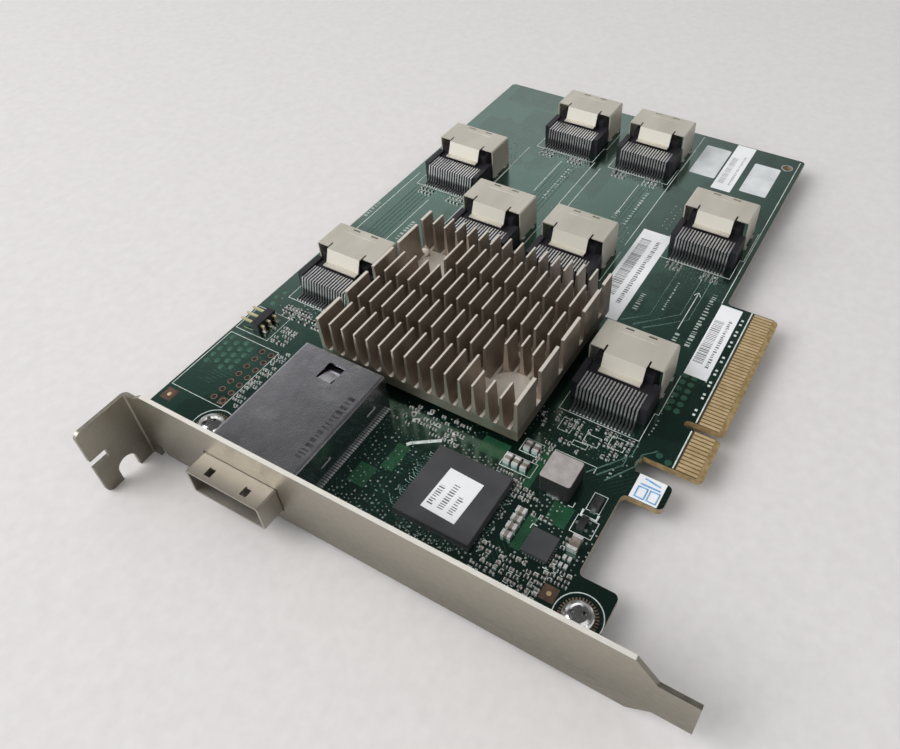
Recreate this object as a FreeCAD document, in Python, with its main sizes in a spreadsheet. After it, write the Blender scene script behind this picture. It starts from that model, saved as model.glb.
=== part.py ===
import FreeCAD, Part
import os
import re
import Sketcher

# A storage expander card that lies flat with its component side up.
# X runs from the bracket's outer face towards the card's far end.
# Y runs from the outer edge of the card-edge connector towards the card's top edge.
# Z is zero on the component side of the board. All sizes are in millimetres.

SIZES = {
    # circuit board
    "board_near": 2.2,
    "board_past_ports": 8.7,
    "board_low": 12.6,
    "board_above_ports": 5.0,
    "board_thick": 1.57,
    "board_round": 1.2,
    # card-edge connector with its key
    "key_x": 57.15,
    "key_wide": 1.9,
    "key_deep": 8.45,
    "edge_before_key": 12.15,
    "edge_after_key": 39.15,
    "edge_round": 0.7,
    "bevel_run": 1.25,
    "bevel_drop": 0.45,
    "finger_pitch": 1.0,
    "finger_wide": 0.7,
    "finger_long": 4.4,
    "finger_thick": 0.05,
    "finger_to_key": 1.5,
    "fingers_before_key": 11,
    "fingers_after_key": 38,
    # retention hook and screw ear of the board
    "hook_near": 34.9,
    "hook_slot": 4.0,
    "hook_low": 4.4,
    "hook_slot_deep": 13.4,
    "ear_far": 15.4,
    "ear_low": 4.3,
    # bracket screws
    "screw_x": 8.2,
    "screw_low_y": 9.0,
    "screw_span": 85.05,
    "screw_hole": 3.2,
    "screw_shank": 2.8,
    "screw_past_ear": 0.8,
    "screw_head": 6.0,
    "screw_head_tall": 2.0,
    "screw_crown": 0.7,
    "recess_long": 3.2,
    "recess_wide": 0.7,
    "recess_deep": 1.1,
    # tooling hole near the far end
    "tooling_hole": 2.2,
    "tooling_hole_in": 5.5,
    "tooling_hole_up": 3.9,
    # folded slot bracket
    "sheet_thick": 0.86,
    "plate_low": -3.82,
    "plate_high": 14.6,
    "plate_start": -3.75,
    "plate_end": 99.6,
    "tongue_end": -14.85,
    "tongue_start": -8.0,
    "tongue_low": -0.45,
    "tongue_high": 9.75,
    "fold_y": 105.3,
    "fold_strip": 3.0,
    "fold_inside_round": 0.4,
    "relief_high": -1.6,
    "relief_wide": 1.6,
    "tab_out": 11.85,
    "tab_low": -5.6,
    "tab_high": 12.8,
    "tab_round": 1.4,
    "tab_notch_low": 2.8,
    "tab_notch_high": 4.85,
    "tab_notch_deep": 3.7,
    "screw_notch_x": -5.85,
    "screw_notch_wide": 4.42,
    "screw_notch_top": -0.65,
    "bracket_ear_long": 13.0,
    "bracket_ear_wide": 9.0,
    # external port: cage, nose and connector
    "cage_mid": 75.35,
    "cage_wide": 20.7,
    "cage_tall": 9.2,
    "cage_end": 31.0,
    "cage_wall": 0.45,
    "cage_bend": 0.6,
    "nose_mid": 76.45,
    "nose_wide": 18.0,
    "nose_low": 0.1,
    "nose_tall": 6.8,
    "nose_out": 5.0,
    "nose_wall": 0.55,
    "nose_slot_gap": 0.25,
    "latch_hole_long": 1.9,
    "latch_hole_wide": 1.6,
    "latch_hole_back": 1.0,
    "latch_hole_offset": 4.45,
    "lance_x": 24.2,
    "lance_long": 4.6,
    "lance_wide": 4.1,
    "lance_drop": 1.2,
    "side_window_near": 9.2,
    "side_window_pitch": 14.6,
    "side_window_long": 3.2,
    "side_window_low": 3.6,
    "side_window_tall": 0.9,
    "plug_depth": 12.5,
    "plug_block_side_gap": 0.35,
    "lance_gap": 0.05,
    "plug_block_back_gap": 1.5,
    "plug_slot_wide": 13.2,
    "plug_slot_low": 2.7,
    "plug_slot_tall": 1.7,
    "plug_slot_deep": 6.5,
    "plug_contacts": 13,
    "contact_pitch": 0.8,
    "contact_wide": 0.34,
    "contact_thick": 0.22,
    # internal ports: places of the mouths and middle lines, and clearances to the heat sink
    "port1_mouth": 68.5,
    "port2_mouth": 123.6,
    "port7_mouth": 126.8,
    "port7_mid": 24.3,
    "port8_mouth": 69.6,
    "port_row_pitch": 23.5,
    "port3_mid": 76.7,
    "port_column_pitch": 54.9,
    "sink_to_top_ports": 4.25,
    "sink_to_low_port": 2.85,
    "sink_to_feet": 3.7,
    # internal ports: sheet metal shell
    "shell_wide": 17.3,
    "shell_tall": 8.6,
    "shell_long": 8.9,
    "shell_wall": 0.3,
    "shell_bend": 0.5,
    "strap_wide": 9.6,
    "strap_flat": 0.9,
    "strap_slope": 1.2,
    "strap_lip": 1.4,
    "slit_wide": 0.45,
    "slit_deep": 1.6,
    "latch_slot_long": 2.0,
    "latch_slot_wide": 0.55,
    "latch_slot_back": 0.5,
    "latch_slot_offset": 2.7,
    # internal ports: moulded housing and contacts
    "arm_tall": 5.0,
    "arm_back": 17.4,
    "arm_front": 9.7,
    "arm_wide": 1.45,
    "recess_low": 4.4,
    "mating_front": 4.5,
    "mating_wide": 13.4,
    "mating_tall": 6.6,
    "mating_slot_wide": 12.2,
    "mating_slot_low": 2.7,
    "mating_slot_tall": 1.5,
    "mating_slot_deep": 4.0,
    "contacts_in_row": 18,
    "contact_start": 12.9,
    "contact_bend": 17.95,
    "contact_run": 1.05,
    "foot_long": 1.9,
    "seat_gap": 0.03,
    # heat sink, its pad and the chip below
    "sink_to_cage": 3.2,
    "sink_low": 35.5,
    "sink_long": 43.6,
    "sink_wide": 49.1,
    "sink_top": 14.0,
    "sink_base": 2.7,
    "fin_count": 16,
    "fin_thick": 1.0,
    "fin_tip": 0.42,
    "fin_row_pitch": 9.85,
    "fin_row_gap": 2.0,
    "fin_row_gaps": 4,
    "pocket_across": 10.6,
    "pocket_fin": 2,
    "far_pocket_row": 3,
    "chip_wide": 31.0,
    "chip_base_tall": 1.2,
    "chip_lid_wide": 27.0,
    "chip_tall": 2.4,
    "pad_thick": 0.2,
    # logic chip, power parts and small parts
    "logic_x": 18.2,
    "logic_y": 40.55,
    "logic_wide": 17.0,
    "logic_base_tall": 0.6,
    "logic_tall": 1.9,
    "logic_cap_inset": 0.1,
    "logic_cap_bevel": 0.12,
    "coil_x": 31.15,
    "coil_y": 24.0,
    "coil_wide": 6.7,
    "coil_tall": 5.0,
    "coil_round": 0.5,
    "power_chip_x": 17.1,
    "power_chip_y": 21.1,
    "power_chip_wide": 5.4,
    "power_chip_tall": 0.9,
    "ceramic_long": 2.0,
    "ceramic_wide": 1.25,
    "ceramic_tall": 0.95,
    "ceramic_pitch": 1.9,
    "ceramic_a_x": 31.0,
    "ceramic_a_y": 32.1,
    "ceramic_b_x": 35.8,
    "ceramic_b_y": 32.0,
    "ceramic_c_x": 16.0,
    "ceramic_c_y": 27.6,
    "bulk_x": 20.3,
    "bulk_y": 15.6,
    "bulk_long": 3.2,
    "bulk_wide": 1.9,
    "bulk_tall": 1.4,
    "diode_x": 30.1,
    "diode_y": 15.8,
    "diode_long": 2.8,
    "diode_wide": 1.8,
    "diode_tall": 1.1,
    "transistor_x": 25.0,
    "transistor_y": 16.3,
    "transistor_long": 2.9,
    "transistor_wide": 1.4,
    "transistor_tall": 1.0,
    "resistor_x": 15.5,
    "resistor_y": 15.6,
    "resistor_pitch": 1.7,
    "resistor_count": 2,
    "resistor_long": 1.6,
    "resistor_wide": 0.8,
    "resistor_tall": 0.5,
    # side pin header
    "pins_x": 34.2,
    "pins_pitch": 2.0,
    "pins_count": 3,
    "pins_to_edge": 4.55,
    "pins_block_wide": 2.0,
    "pins_block_tall": 2.2,
    "pin_thick": 0.5,
    "pin_high": 1.1,
    "pin_out": 3.9,
    "pin_in": 1.1,
    # paper labels
    "label_thick": 0.1,
    "label_wide_near": 78.1,
    "label_wide_to_port": 0.55,
    "label_wide_long": 35.8,
    "label_wide_across": 8.1,
    "label_serial_near": 70.3,
    "label_serial_low": 8.4,
    "label_serial_long": 25.2,
    "label_serial_across": 5.3,
    "label_rear_near": 140.7,
    "label_rear_low": 27.2,
    "label_rear_long": 24.9,
    "label_rear_across": 5.6,
    "label_hook_margin": 0.1,
    "label_chip_long": 10.0,
    "label_chip_across": 7.8,
    "label_chip_off_x": 0.7,
    "label_chip_off_y": 0.2,
    "label_chip_skew": 0.05,
}

CHANNEL_FLATS = 5

# Rows of ceramic capacitors: name, the axis each row runs along, and how many are in it.
CERAMIC_ROWS = [("ceramic_a", "Y", 3), ("ceramic_b", "Y", 2), ("ceramic_c", "X", 4)]

doc = FreeCAD.newDocument("expander_card")
sheet = doc.addObject("Spreadsheet::Sheet", "dims")
for row, (alias, size) in enumerate(SIZES.items(), 1):
    sheet.set(f"A{row}", alias)
    sheet.set(f"B{row}", str(size))
    sheet.setAlias(f"B{row}", alias)
doc.recompute()

PLANE_OF_AXIS = {"X": "YZ_Plane", "Y": "XZ_Plane", "Z": "XY_Plane"}
nodes = []


def ref(text):
    """Point each size's name at its cell in the sheet."""
    return re.sub(r"[a-z_]\w*", lambda m: "dims." + m[0] if m[0] in SIZES else m[0], str(text))


def value(text):
    return float(sheet.evalExpression(ref(text)))


def bind(item, **properties):
    for name, text in properties.items():
        item.setExpression(name, ref(text))


def place(item, x="0", y="0", z="0"):
    for axis, text in zip("xyz", (x, y, z)):
        item.setExpression("Placement.Base." + axis, ref(text))


def origin_feature(body, role):
    return next(item for item in body.Origin.OriginFeatures if item.Role == role)


def new_body(label):
    body = doc.addObject("PartDesign::Body", label)
    body.Label = label
    body.AllowCompound = True
    nodes.append(body)
    return body


def new_sketch(body, axis, start):
    """A sketch square to an axis, at the given coordinate along it."""
    sketch = body.newObject("Sketcher::SketchObject", body.Name + "_sketch")
    sketch.AttachmentSupport = [(origin_feature(body, PLANE_OF_AXIS[axis]), "")]
    sketch.MapMode = "FlatFace"
    side = "-1" if axis == "Y" else "1"
    sketch.setExpression("AttachmentOffset.Base.z", ref(f"{side} * ({start})"))
    return sketch


def fix(sketch, geometry, point, across, up):
    """Hold one point of a sketch at two coordinates from the sheet."""
    for kind, text in (("DistanceX", across), ("DistanceY", up)):
        rule = Sketcher.Constraint(kind, geometry, point, value(text))
        index = sketch.addConstraint(rule)
        sketch.setExpression(f"Constraints[{index}]", ref(text))


def draw_polygon(sketch, points):
    spots = [FreeCAD.Vector(value(a), value(b), 0) for a, b in points]
    first = sketch.GeometryCount
    count = len(spots)
    for i in range(count):
        sketch.addGeometry(Part.LineSegment(spots[i], spots[(i + 1) % count]))
    for i in range(count):
        joint = Sketcher.Constraint("Coincident", first + i, 2, first + (i + 1) % count, 1)
        sketch.addConstraint(joint)
    for i, (a, b) in enumerate(points):
        fix(sketch, first + i, 1, a, b)


def draw_circle(sketch, across, up, diameter):
    centre = FreeCAD.Vector(value(across), value(up), 0)
    upward = FreeCAD.Vector(0, 0, 1)
    index = sketch.addGeometry(Part.Circle(centre, upward, value(diameter) / 2))
    fix(sketch, index, 3, across, up)
    rule = sketch.addConstraint(Sketcher.Constraint("Diameter", index, value(diameter)))
    sketch.setExpression(f"Constraints[{rule}]", ref(diameter))


def channel(middle, width, floor, mouth, top, facets):
    """An upright slot that widens to its mouth, with a round floor made of a few flats."""
    radius = f"({width}) / 2"
    spring = f"({floor}) + {radius}"
    points = [(f"({middle}) - ({mouth}) / 2", top)]
    for i in range(facets + 1):
        angle = f"{180 + 180 * i / facets} deg"
        points.append((f"({middle}) + {radius} * cos({angle})", f"{spring} + {radius} * sin({angle})"))
    points.append((f"({middle}) + ({mouth}) / 2", top))
    return points


def rectangle(left, low, wide, high):
    right = f"({left}) + ({wide})"
    top = f"({low}) + ({high})"
    return [(left, low), (right, low), (right, top), (left, top)]


def centred(middle_x, middle_y, wide, high):
    return rectangle(f"({middle_x}) - ({wide}) / 2", f"({middle_y}) - ({high}) / 2", wide, high)


def extrude(body, kind, sketch, axis, length):
    """Pad or Pocket from the sketch towards the axis's positive end."""
    feature = body.newObject("PartDesign::" + kind, body.Name + "_" + kind.lower())
    feature.Profile = sketch
    feature.Reversed = (axis == "Y") == (kind == "Pad")
    bind(feature, Length=length)
    sketch.Visibility = False
    return feature


def pad(body, axis, points, start, length):
    sketch = new_sketch(body, axis, start)
    draw_polygon(sketch, points)
    return extrude(body, "Pad", sketch, axis, length)


def cut(body, axis, points, start, length):
    sketch = new_sketch(body, axis, start)
    draw_polygon(sketch, points)
    return extrude(body, "Pocket", sketch, axis, length)


def bore(body, axis, across, up, diameter, start, length):
    sketch = new_sketch(body, axis, start)
    draw_circle(sketch, across, up, diameter)
    return extrude(body, "Pocket", sketch, axis, length)


def repeat(body, feature, axis, spacing, count):
    pattern = body.newObject("PartDesign::LinearPattern", body.Name + "_row")
    pattern.Originals = [feature]
    pattern.Direction = (origin_feature(body, axis + "_Axis"), [""])
    pattern.Mode = "Spacing"
    bind(pattern, Offset=spacing, Occurrences=count)
    body.Tip = pattern
    return pattern


def edges_along(body, axis, spots):
    """Names of the straight edges that run along an axis through the given points."""
    doc.recompute()
    others = [i for i in range(3) if "XYZ"[i] != axis]
    found = []
    for number, edge in enumerate(body.Tip.Shape.Edges, 1):
        run = edge.lastVertex().Point - edge.firstVertex().Point
        if edge.Curve.TypeId != "Part::GeomLine" or abs(run["XYZ".index(axis)]) < 0.99 * run.Length:
            continue
        middle = edge.CenterOfMass
        for a, b in spots:
            if abs(middle[others[0]] - value(a)) < 1e-4 and abs(middle[others[1]] - value(b)) < 1e-4:
                found.append(f"Edge{number}")
    return found


def round_edges(body, axis, spots, radius):
    names = edges_along(body, axis, spots)
    fillet = body.newObject("PartDesign::Fillet", body.Name + "_round")
    fillet.Base = (fillet.BaseFeature or body.Tip, names)
    bind(fillet, Radius=radius)
    return fillet


def bevel_edges(body, names, size):
    chamfer = body.newObject("PartDesign::Chamfer", body.Name + "_bevel")
    chamfer.Base = (chamfer.BaseFeature or body.Tip, names)
    bind(chamfer, Size=size)
    return chamfer


def box(label, x, y, z, long, wide, tall):
    block = doc.addObject("Part::Box", label)
    block.Label = label
    bind(block, Length=long, Width=wide, Height=tall)
    place(block, x, y, z)
    return block


def box_node(label, x, y, z, long, wide, tall):
    nodes.append(box(label, x, y, z, long, wide, tall))


def group_node(label, members):
    group = doc.addObject("Part::Compound", label)
    group.Label = label
    group.Links = members
    nodes.append(group)


# Places that several pieces share.
BOARD_BOTTOM = "-board_thick"
EDGE_NEAR = "key_x - edge_before_key"
EDGE_FAR = "key_x + edge_after_key"
HOOK_FAR = f"{EDGE_NEAR} - hook_slot"
SCREW_HIGH_Y = "screw_low_y + screw_span"
NOSE_LEFT = "nose_mid - nose_wide / 2"
FIN_PITCH = "((sink_wide - fin_thick) / (fin_count - 1))"
SINK_NEAR = "cage_end + sink_to_cage"
SINK_BOTTOM = "chip_tall + pad_thick"
SINK_MID_X = f"{SINK_NEAR} + sink_long / 2"
SINK_MID_Y = "sink_low + sink_wide / 2"
FEET_BACK = "contact_bend + contact_run + foot_long"
INNER_MOUTH = f"{SINK_NEAR} + sink_long + sink_to_feet + {FEET_BACK}"
OUTER_MOUTH = f"{INNER_MOUTH} + port_column_pitch"
TOP_ROW_MID = "sink_low + sink_wide + sink_to_top_ports + shell_wide / 2"
BOARD_FAR = f"{OUTER_MOUTH} + board_past_ports"
BOARD_TOP = f"{TOP_ROW_MID} + shell_wide / 2 + board_above_ports"
PINS_BLOCK_Y = f"{BOARD_TOP} - pins_to_edge - pins_block_wide"

# Mouth and middle line of each internal port.
PORTS = {
    1: ("port1_mouth", TOP_ROW_MID),
    2: ("port2_mouth", TOP_ROW_MID),
    3: (INNER_MOUTH, "port3_mid"),
    4: (INNER_MOUTH, "port3_mid - port_row_pitch"),
    5: (OUTER_MOUTH, "port3_mid"),
    6: (OUTER_MOUTH, "port3_mid - port_row_pitch"),
    7: ("port7_mouth", "port7_mid"),
    8: ("port8_mouth", "sink_low - sink_to_low_port - shell_wide / 2"),
}


def circuit_board():
    body = new_body("circuit_board")
    main = rectangle("board_near", "board_low", f"{BOARD_FAR} - board_near", f"{BOARD_TOP} - board_low")
    pad(body, "Z", main, BOARD_BOTTOM, "board_thick")
    edge = rectangle(EDGE_NEAR, "0", "edge_before_key + edge_after_key", "board_low")
    pad(body, "Z", edge, BOARD_BOTTOM, "board_thick")
    hook = rectangle("hook_near", "hook_low", f"{HOOK_FAR} - hook_near", "board_low - hook_low")
    pad(body, "Z", hook, BOARD_BOTTOM, "board_thick")
    ear = rectangle("board_near", "ear_low", "ear_far - board_near", "board_low - ear_low")
    pad(body, "Z", ear, BOARD_BOTTOM, "board_thick")

    # The slot beside the hook and the key notch both end in a half circle.
    slot_round = "hook_slot_deep - hook_slot / 2"
    slot = rectangle(HOOK_FAR, "0", "hook_slot", slot_round)
    cut(body, "Z", slot, BOARD_BOTTOM, "board_thick")
    bore(body, "Z", f"{HOOK_FAR} + hook_slot / 2", slot_round, "hook_slot", BOARD_BOTTOM, "board_thick")
    key = rectangle("key_x - key_wide / 2", "0", "key_wide", "key_deep - key_wide / 2")
    cut(body, "Z", key, BOARD_BOTTOM, "board_thick")
    bore(body, "Z", "key_x", "key_deep - key_wide / 2", "key_wide", BOARD_BOTTOM, "board_thick")

    inside = [("ear_far", "board_low"), ("hook_near", "board_low"), (EDGE_FAR, "board_low")]
    outside = [("ear_far", "ear_low"), ("hook_near", "hook_low"), (HOOK_FAR, "hook_low")]
    ends = [(BOARD_FAR, "board_low"), (BOARD_FAR, BOARD_TOP)]
    round_edges(body, "Z", inside + outside + ends, "board_round")
    edge_corners = [(EDGE_NEAR, "0"), (EDGE_FAR, "0")]
    edge_corners += [(f"key_x {side} key_wide / 2", "0") for side in "-+"]
    round_edges(body, "Z", edge_corners, "edge_round")

    # Both faces of the connector's outer edge are bevelled.
    upper = [("0", "0"), ("0", "-bevel_drop"), ("bevel_run", "0")]
    lower = [("0", BOARD_BOTTOM), ("bevel_run", BOARD_BOTTOM), ("0", "bevel_drop - board_thick")]
    for wedge in (upper, lower):
        cut(body, "X", wedge, EDGE_NEAR, "edge_before_key + edge_after_key")

    for y in ("screw_low_y", SCREW_HIGH_Y):
        bore(body, "Z", "screw_x", y, "screw_hole", BOARD_BOTTOM, "board_thick")
    bore(body, "Z", f"{BOARD_FAR} - tooling_hole_in", "board_low + tooling_hole_up", "tooling_hole",
         BOARD_BOTTOM, "board_thick")


def edge_contacts(label, bottom):
    body = new_body(label)
    after = rectangle("key_x + finger_to_key - finger_wide / 2", "bevel_run", "finger_wide", "finger_long")
    repeat(body, pad(body, "Z", after, bottom, "finger_thick"), "X", "finger_pitch", "fingers_after_key")
    reach = "(fingers_before_key - 1) * finger_pitch"
    before = rectangle(f"key_x - finger_to_key - {reach} - finger_wide / 2", "bevel_run",
                       "finger_wide", "finger_long")
    repeat(body, pad(body, "Z", before, bottom, "finger_thick"), "X", "finger_pitch", "fingers_before_key")


def slot_bracket():
    body = new_body("slot_bracket")
    strip = "fold_y - fold_strip"
    outline = [
        ("tongue_end", "tongue_low"),
        ("tongue_start", "tongue_low"),
        ("plate_start", "plate_low"),
        ("plate_end", "plate_low"),
        ("plate_end + relief_wide / 2", "relief_high"),
        (strip, "relief_high"),
        (strip, "tab_low"),
        ("fold_y", "tab_low"),
        ("fold_y", "tab_high"),
        (strip, "tab_high"),
        ("plate_end", "plate_high"),
        ("plate_start", "plate_high"),
        ("tongue_start", "tongue_high"),
        ("tongue_end", "tongue_high"),
    ]
    pad(body, "X", outline, "0", "sheet_thick")

    # The top tab is folded outwards, with a locating notch and an open screw notch.
    tab = [
        ("-tab_out", "tab_low"),
        ("sheet_thick", "tab_low"),
        ("sheet_thick", "tab_high"),
        ("-tab_out", "tab_high"),
        ("-tab_out", "tab_notch_high"),
        ("tab_notch_deep - tab_out", "tab_notch_high"),
        ("tab_notch_deep - tab_out", "tab_notch_low"),
        ("-tab_out", "tab_notch_low"),
    ]
    pad(body, "Y", tab, "fold_y - sheet_thick", "sheet_thick")
    notch_round = "screw_notch_top - screw_notch_wide / 2"
    notch = rectangle("screw_notch_x - screw_notch_wide / 2", "tab_low",
                      "screw_notch_wide", f"{notch_round} - tab_low")
    cut(body, "Y", notch, "fold_y - sheet_thick", "sheet_thick")
    bore(body, "Y", "screw_notch_x", notch_round, "screw_notch_wide", "fold_y - sheet_thick", "sheet_thick")
    round_edges(body, "Y", [("-tab_out", "tab_low"), ("-tab_out", "tab_high")], "tab_round")
    round_edges(body, "Z", [("0", "fold_y - sheet_thick")], "fold_inside_round")
    round_edges(body, "Z", [("sheet_thick", "fold_y")], "fold_inside_round + sheet_thick")

    # Two ears reach under the board and take its screws.
    for y in ("screw_low_y", SCREW_HIGH_Y):
        ear = rectangle("sheet_thick", f"{y} - bracket_ear_wide / 2",
                        "bracket_ear_long - sheet_thick", "bracket_ear_wide")
        pad(body, "Z", ear, "-board_thick - sheet_thick", "sheet_thick")
    for y in ("screw_low_y", SCREW_HIGH_Y):
        bore(body, "Z", "screw_x", y, "screw_shank", "-board_thick - sheet_thick", "sheet_thick")

    window = rectangle(f"{NOSE_LEFT} - nose_slot_gap", "nose_low - nose_slot_gap",
                       "nose_wide + 2 * nose_slot_gap", "nose_tall + 2 * nose_slot_gap")
    cut(body, "X", window, "0", "sheet_thick")


def bracket_screws():
    body = new_body("bracket_screws")
    place(body, "screw_x", "screw_low_y")
    tip = "-(board_thick + sheet_thick + screw_past_ear)"
    sketch = new_sketch(body, "Y", "0")
    draw_polygon(sketch, [
        ("0", tip),
        ("screw_shank / 2", tip),
        ("screw_shank / 2", "0"),
        ("screw_head / 2", "0"),
        ("screw_head / 2", "screw_head_tall - screw_crown"),
        ("screw_head / 2 - screw_crown", "screw_head_tall"),
        ("0", "screw_head_tall"),
    ])
    turned = body.newObject("PartDesign::Revolution", "bracket_screws_turned")
    turned.Profile = sketch
    turned.ReferenceAxis = (origin_feature(body, "Z_Axis"), [""])
    turned.Angle = 360
    arm = "recess_wide / 2"
    reach = "recess_long / 2"
    cross = [(reach, "-" + arm), (reach, arm), (arm, arm), (arm, reach), ("-" + arm, reach), ("-" + arm, arm),
             ("-" + reach, arm), ("-" + reach, "-" + arm), ("-" + arm, "-" + arm), ("-" + arm, "-" + reach),
             (arm, "-" + reach), (arm, "-" + arm)]
    cut(body, "Z", cross, "screw_head_tall - recess_deep", "recess_deep")
    whole = body.newObject("PartDesign::LinearPattern", "bracket_screws_pair")
    whole.TransformMode = "Whole shape"
    whole.Direction = (origin_feature(body, "Y_Axis"), [""])
    bind(whole, Length="screw_span")
    whole.Occurrences = 2
    body.Tip = whole


def external_port_cage():
    body = new_body("external_port_cage")
    left = "cage_mid - cage_wide / 2"
    right = "cage_mid + cage_wide / 2"
    hood = [
        (left, "0"),
        (f"{left} + cage_wall", "0"),
        (f"{left} + cage_wall", "cage_tall - cage_wall"),
        (f"{right} - cage_wall", "cage_tall - cage_wall"),
        (f"{right} - cage_wall", "0"),
        (right, "0"),
        (right, "cage_tall"),
        (left, "cage_tall"),
    ]
    pad(body, "X", hood, "sheet_thick", "cage_end - sheet_thick")
    end = rectangle(left, "0", "cage_wide", "cage_tall")
    pad(body, "X", end, "cage_end - cage_wall", "cage_wall")
    face = rectangle(left, "nose_low", "cage_wide", "cage_tall - nose_low")
    pad(body, "X", face, "sheet_thick", "cage_wall")
    round_edges(body, "X", [(left, "cage_tall"), (right, "cage_tall")], "cage_bend")
    nose = rectangle(NOSE_LEFT, "nose_low", "nose_wide", "nose_tall")
    pad(body, "X", nose, "-nose_out", "nose_out + sheet_thick")
    corners = [(f"{NOSE_LEFT} + {a} * nose_wide", f"nose_low + {b} * nose_tall")
               for a in (0, 1) for b in (0, 1)]
    round_edges(body, "X", corners, "cage_wall")
    mouth = rectangle(f"{NOSE_LEFT} + nose_wall", "nose_low + nose_wall",
                      "nose_wide - 2 * nose_wall", "nose_tall - 2 * nose_wall")
    cut(body, "X", mouth, "-nose_out", "nose_out + sheet_thick + cage_wall")
    for side in ("-", "+"):
        hole = centred("latch_hole_back + latch_hole_long / 2 - nose_out",
                       f"nose_mid {side} latch_hole_offset", "latch_hole_long", "latch_hole_wide")
        cut(body, "Z", hole, "nose_low + nose_tall - nose_wall", "nose_wall")

    # A tongue lanced from the top slopes down onto the connector inside.
    window = rectangle("lance_x", "cage_mid - lance_wide / 2", "lance_long", "lance_wide")
    cut(body, "Z", window, "cage_tall - cage_wall", "cage_wall")
    tip = "lance_x + lance_long - cage_wall"
    tongue = [
        ("lance_x", "cage_tall"),
        ("lance_x", "cage_tall - cage_wall"),
        (tip, "cage_tall - cage_wall - lance_drop"),
        (tip, "cage_tall - lance_drop"),
    ]
    pad(body, "Y", tongue, "cage_mid - lance_wide / 2 + cage_wall", "lance_wide - 2 * cage_wall")

    slit = rectangle("side_window_near", "side_window_low", "side_window_long", "side_window_tall")
    first = cut(body, "Y", slit, left, "cage_wide")
    repeat(body, first, "X", "side_window_pitch", "2")


def external_port_connector():
    body = new_body("external_port_housing")
    wide = "cage_wide - 2 * cage_wall - 2 * plug_block_side_gap"
    block_long = "cage_end - cage_wall - plug_block_back_gap - plug_depth"
    block = rectangle("plug_depth", f"cage_mid - ({wide}) / 2", block_long, wide)
    tall = "cage_tall - cage_wall - lance_drop - lance_gap"
    pad(body, "Z", block, "seat_gap", f"{tall} - seat_gap")
    slot = rectangle("nose_mid - plug_slot_wide / 2", "plug_slot_low", "plug_slot_wide", "plug_slot_tall")
    cut(body, "X", slot, "plug_depth", "plug_slot_deep")

    contacts = new_body("external_port_contacts")
    first = "nose_mid - (plug_contacts - 1) * contact_pitch / 2 - contact_wide / 2"
    for level in ("plug_slot_low", "plug_slot_low + plug_slot_tall - contact_thick"):
        strip = rectangle("plug_depth", first, "plug_slot_deep", "contact_wide")
        row = pad(contacts, "Z", strip, level, "contact_thick")
        repeat(contacts, row, "Y", "contact_pitch", "plug_contacts")


def port_shell(number):
    body = new_body(f"port_{number}_shell")
    place(body, *PORTS[number])
    left = "-shell_wide / 2"
    right = "shell_wide / 2"
    hood = [
        (left, "0"),
        (f"{left} + shell_wall", "0"),
        (f"{left} + shell_wall", "shell_tall - shell_wall"),
        (f"{right} - shell_wall", "shell_tall - shell_wall"),
        (f"{right} - shell_wall", "0"),
        (right, "0"),
        (right, "shell_tall"),
        (left, "shell_tall"),
    ]
    pad(body, "X", hood, "-shell_long", "shell_long")
    round_edges(body, "X", [(left, "shell_tall"), (right, "shell_tall")], "shell_bend")

    # The retaining tongue bends down and ends in a lip on the housing.
    bend = "-shell_long - strap_flat"
    lip = f"{bend} - strap_slope"
    lip_low = "arm_tall + seat_gap"
    tongue = [
        ("-shell_long", "shell_tall"),
        (bend, "shell_tall"),
        (lip, f"{lip_low} + shell_wall"),
        (f"{lip} - strap_lip", f"{lip_low} + shell_wall"),
        (f"{lip} - strap_lip", lip_low),
        (f"{lip} + shell_wall", lip_low),
        (f"{bend} + shell_wall / 2", "shell_tall - shell_wall"),
        ("-shell_long", "shell_tall - shell_wall"),
    ]
    pad(body, "Y", tongue, "-strap_wide / 2", "strap_wide")
    for edge in ("-strap_wide / 2 - slit_wide", "strap_wide / 2"):
        slit = rectangle("-shell_long", edge, "slit_deep", "slit_wide")
        cut(body, "Z", slit, "shell_tall - shell_wall", "shell_wall")
    for side in ("-", ""):
        slot = centred("-latch_slot_back - latch_slot_wide / 2", f"{side}latch_slot_offset",
                       "latch_slot_wide", "latch_slot_long")
        cut(body, "Z", slot, "shell_tall - shell_wall", "shell_wall")


def port_housing(number):
    body = new_body(f"port_{number}_housing")
    place(body, *PORTS[number])
    wide = "shell_wide - 2 * seat_gap"
    arms = rectangle("-arm_back", f"-({wide}) / 2", "arm_back - arm_front", wide)
    pad(body, "Z", arms, "seat_gap", "arm_tall - seat_gap")
    mating = rectangle("-arm_front", "-mating_wide / 2", "arm_front - mating_front", "mating_wide")
    pad(body, "Z", mating, "seat_gap", "mating_tall - seat_gap")
    gap = rectangle("-arm_back", f"arm_wide - ({wide}) / 2", "arm_back - arm_front", f"{wide} - 2 * arm_wide")
    cut(body, "Z", gap, "recess_low", "arm_tall - recess_low")
    slot = rectangle("-mating_slot_wide / 2", "mating_slot_low", "mating_slot_wide", "mating_slot_tall")
    cut(body, "X", slot, "-mating_front - mating_slot_deep", "mating_slot_deep")


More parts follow.
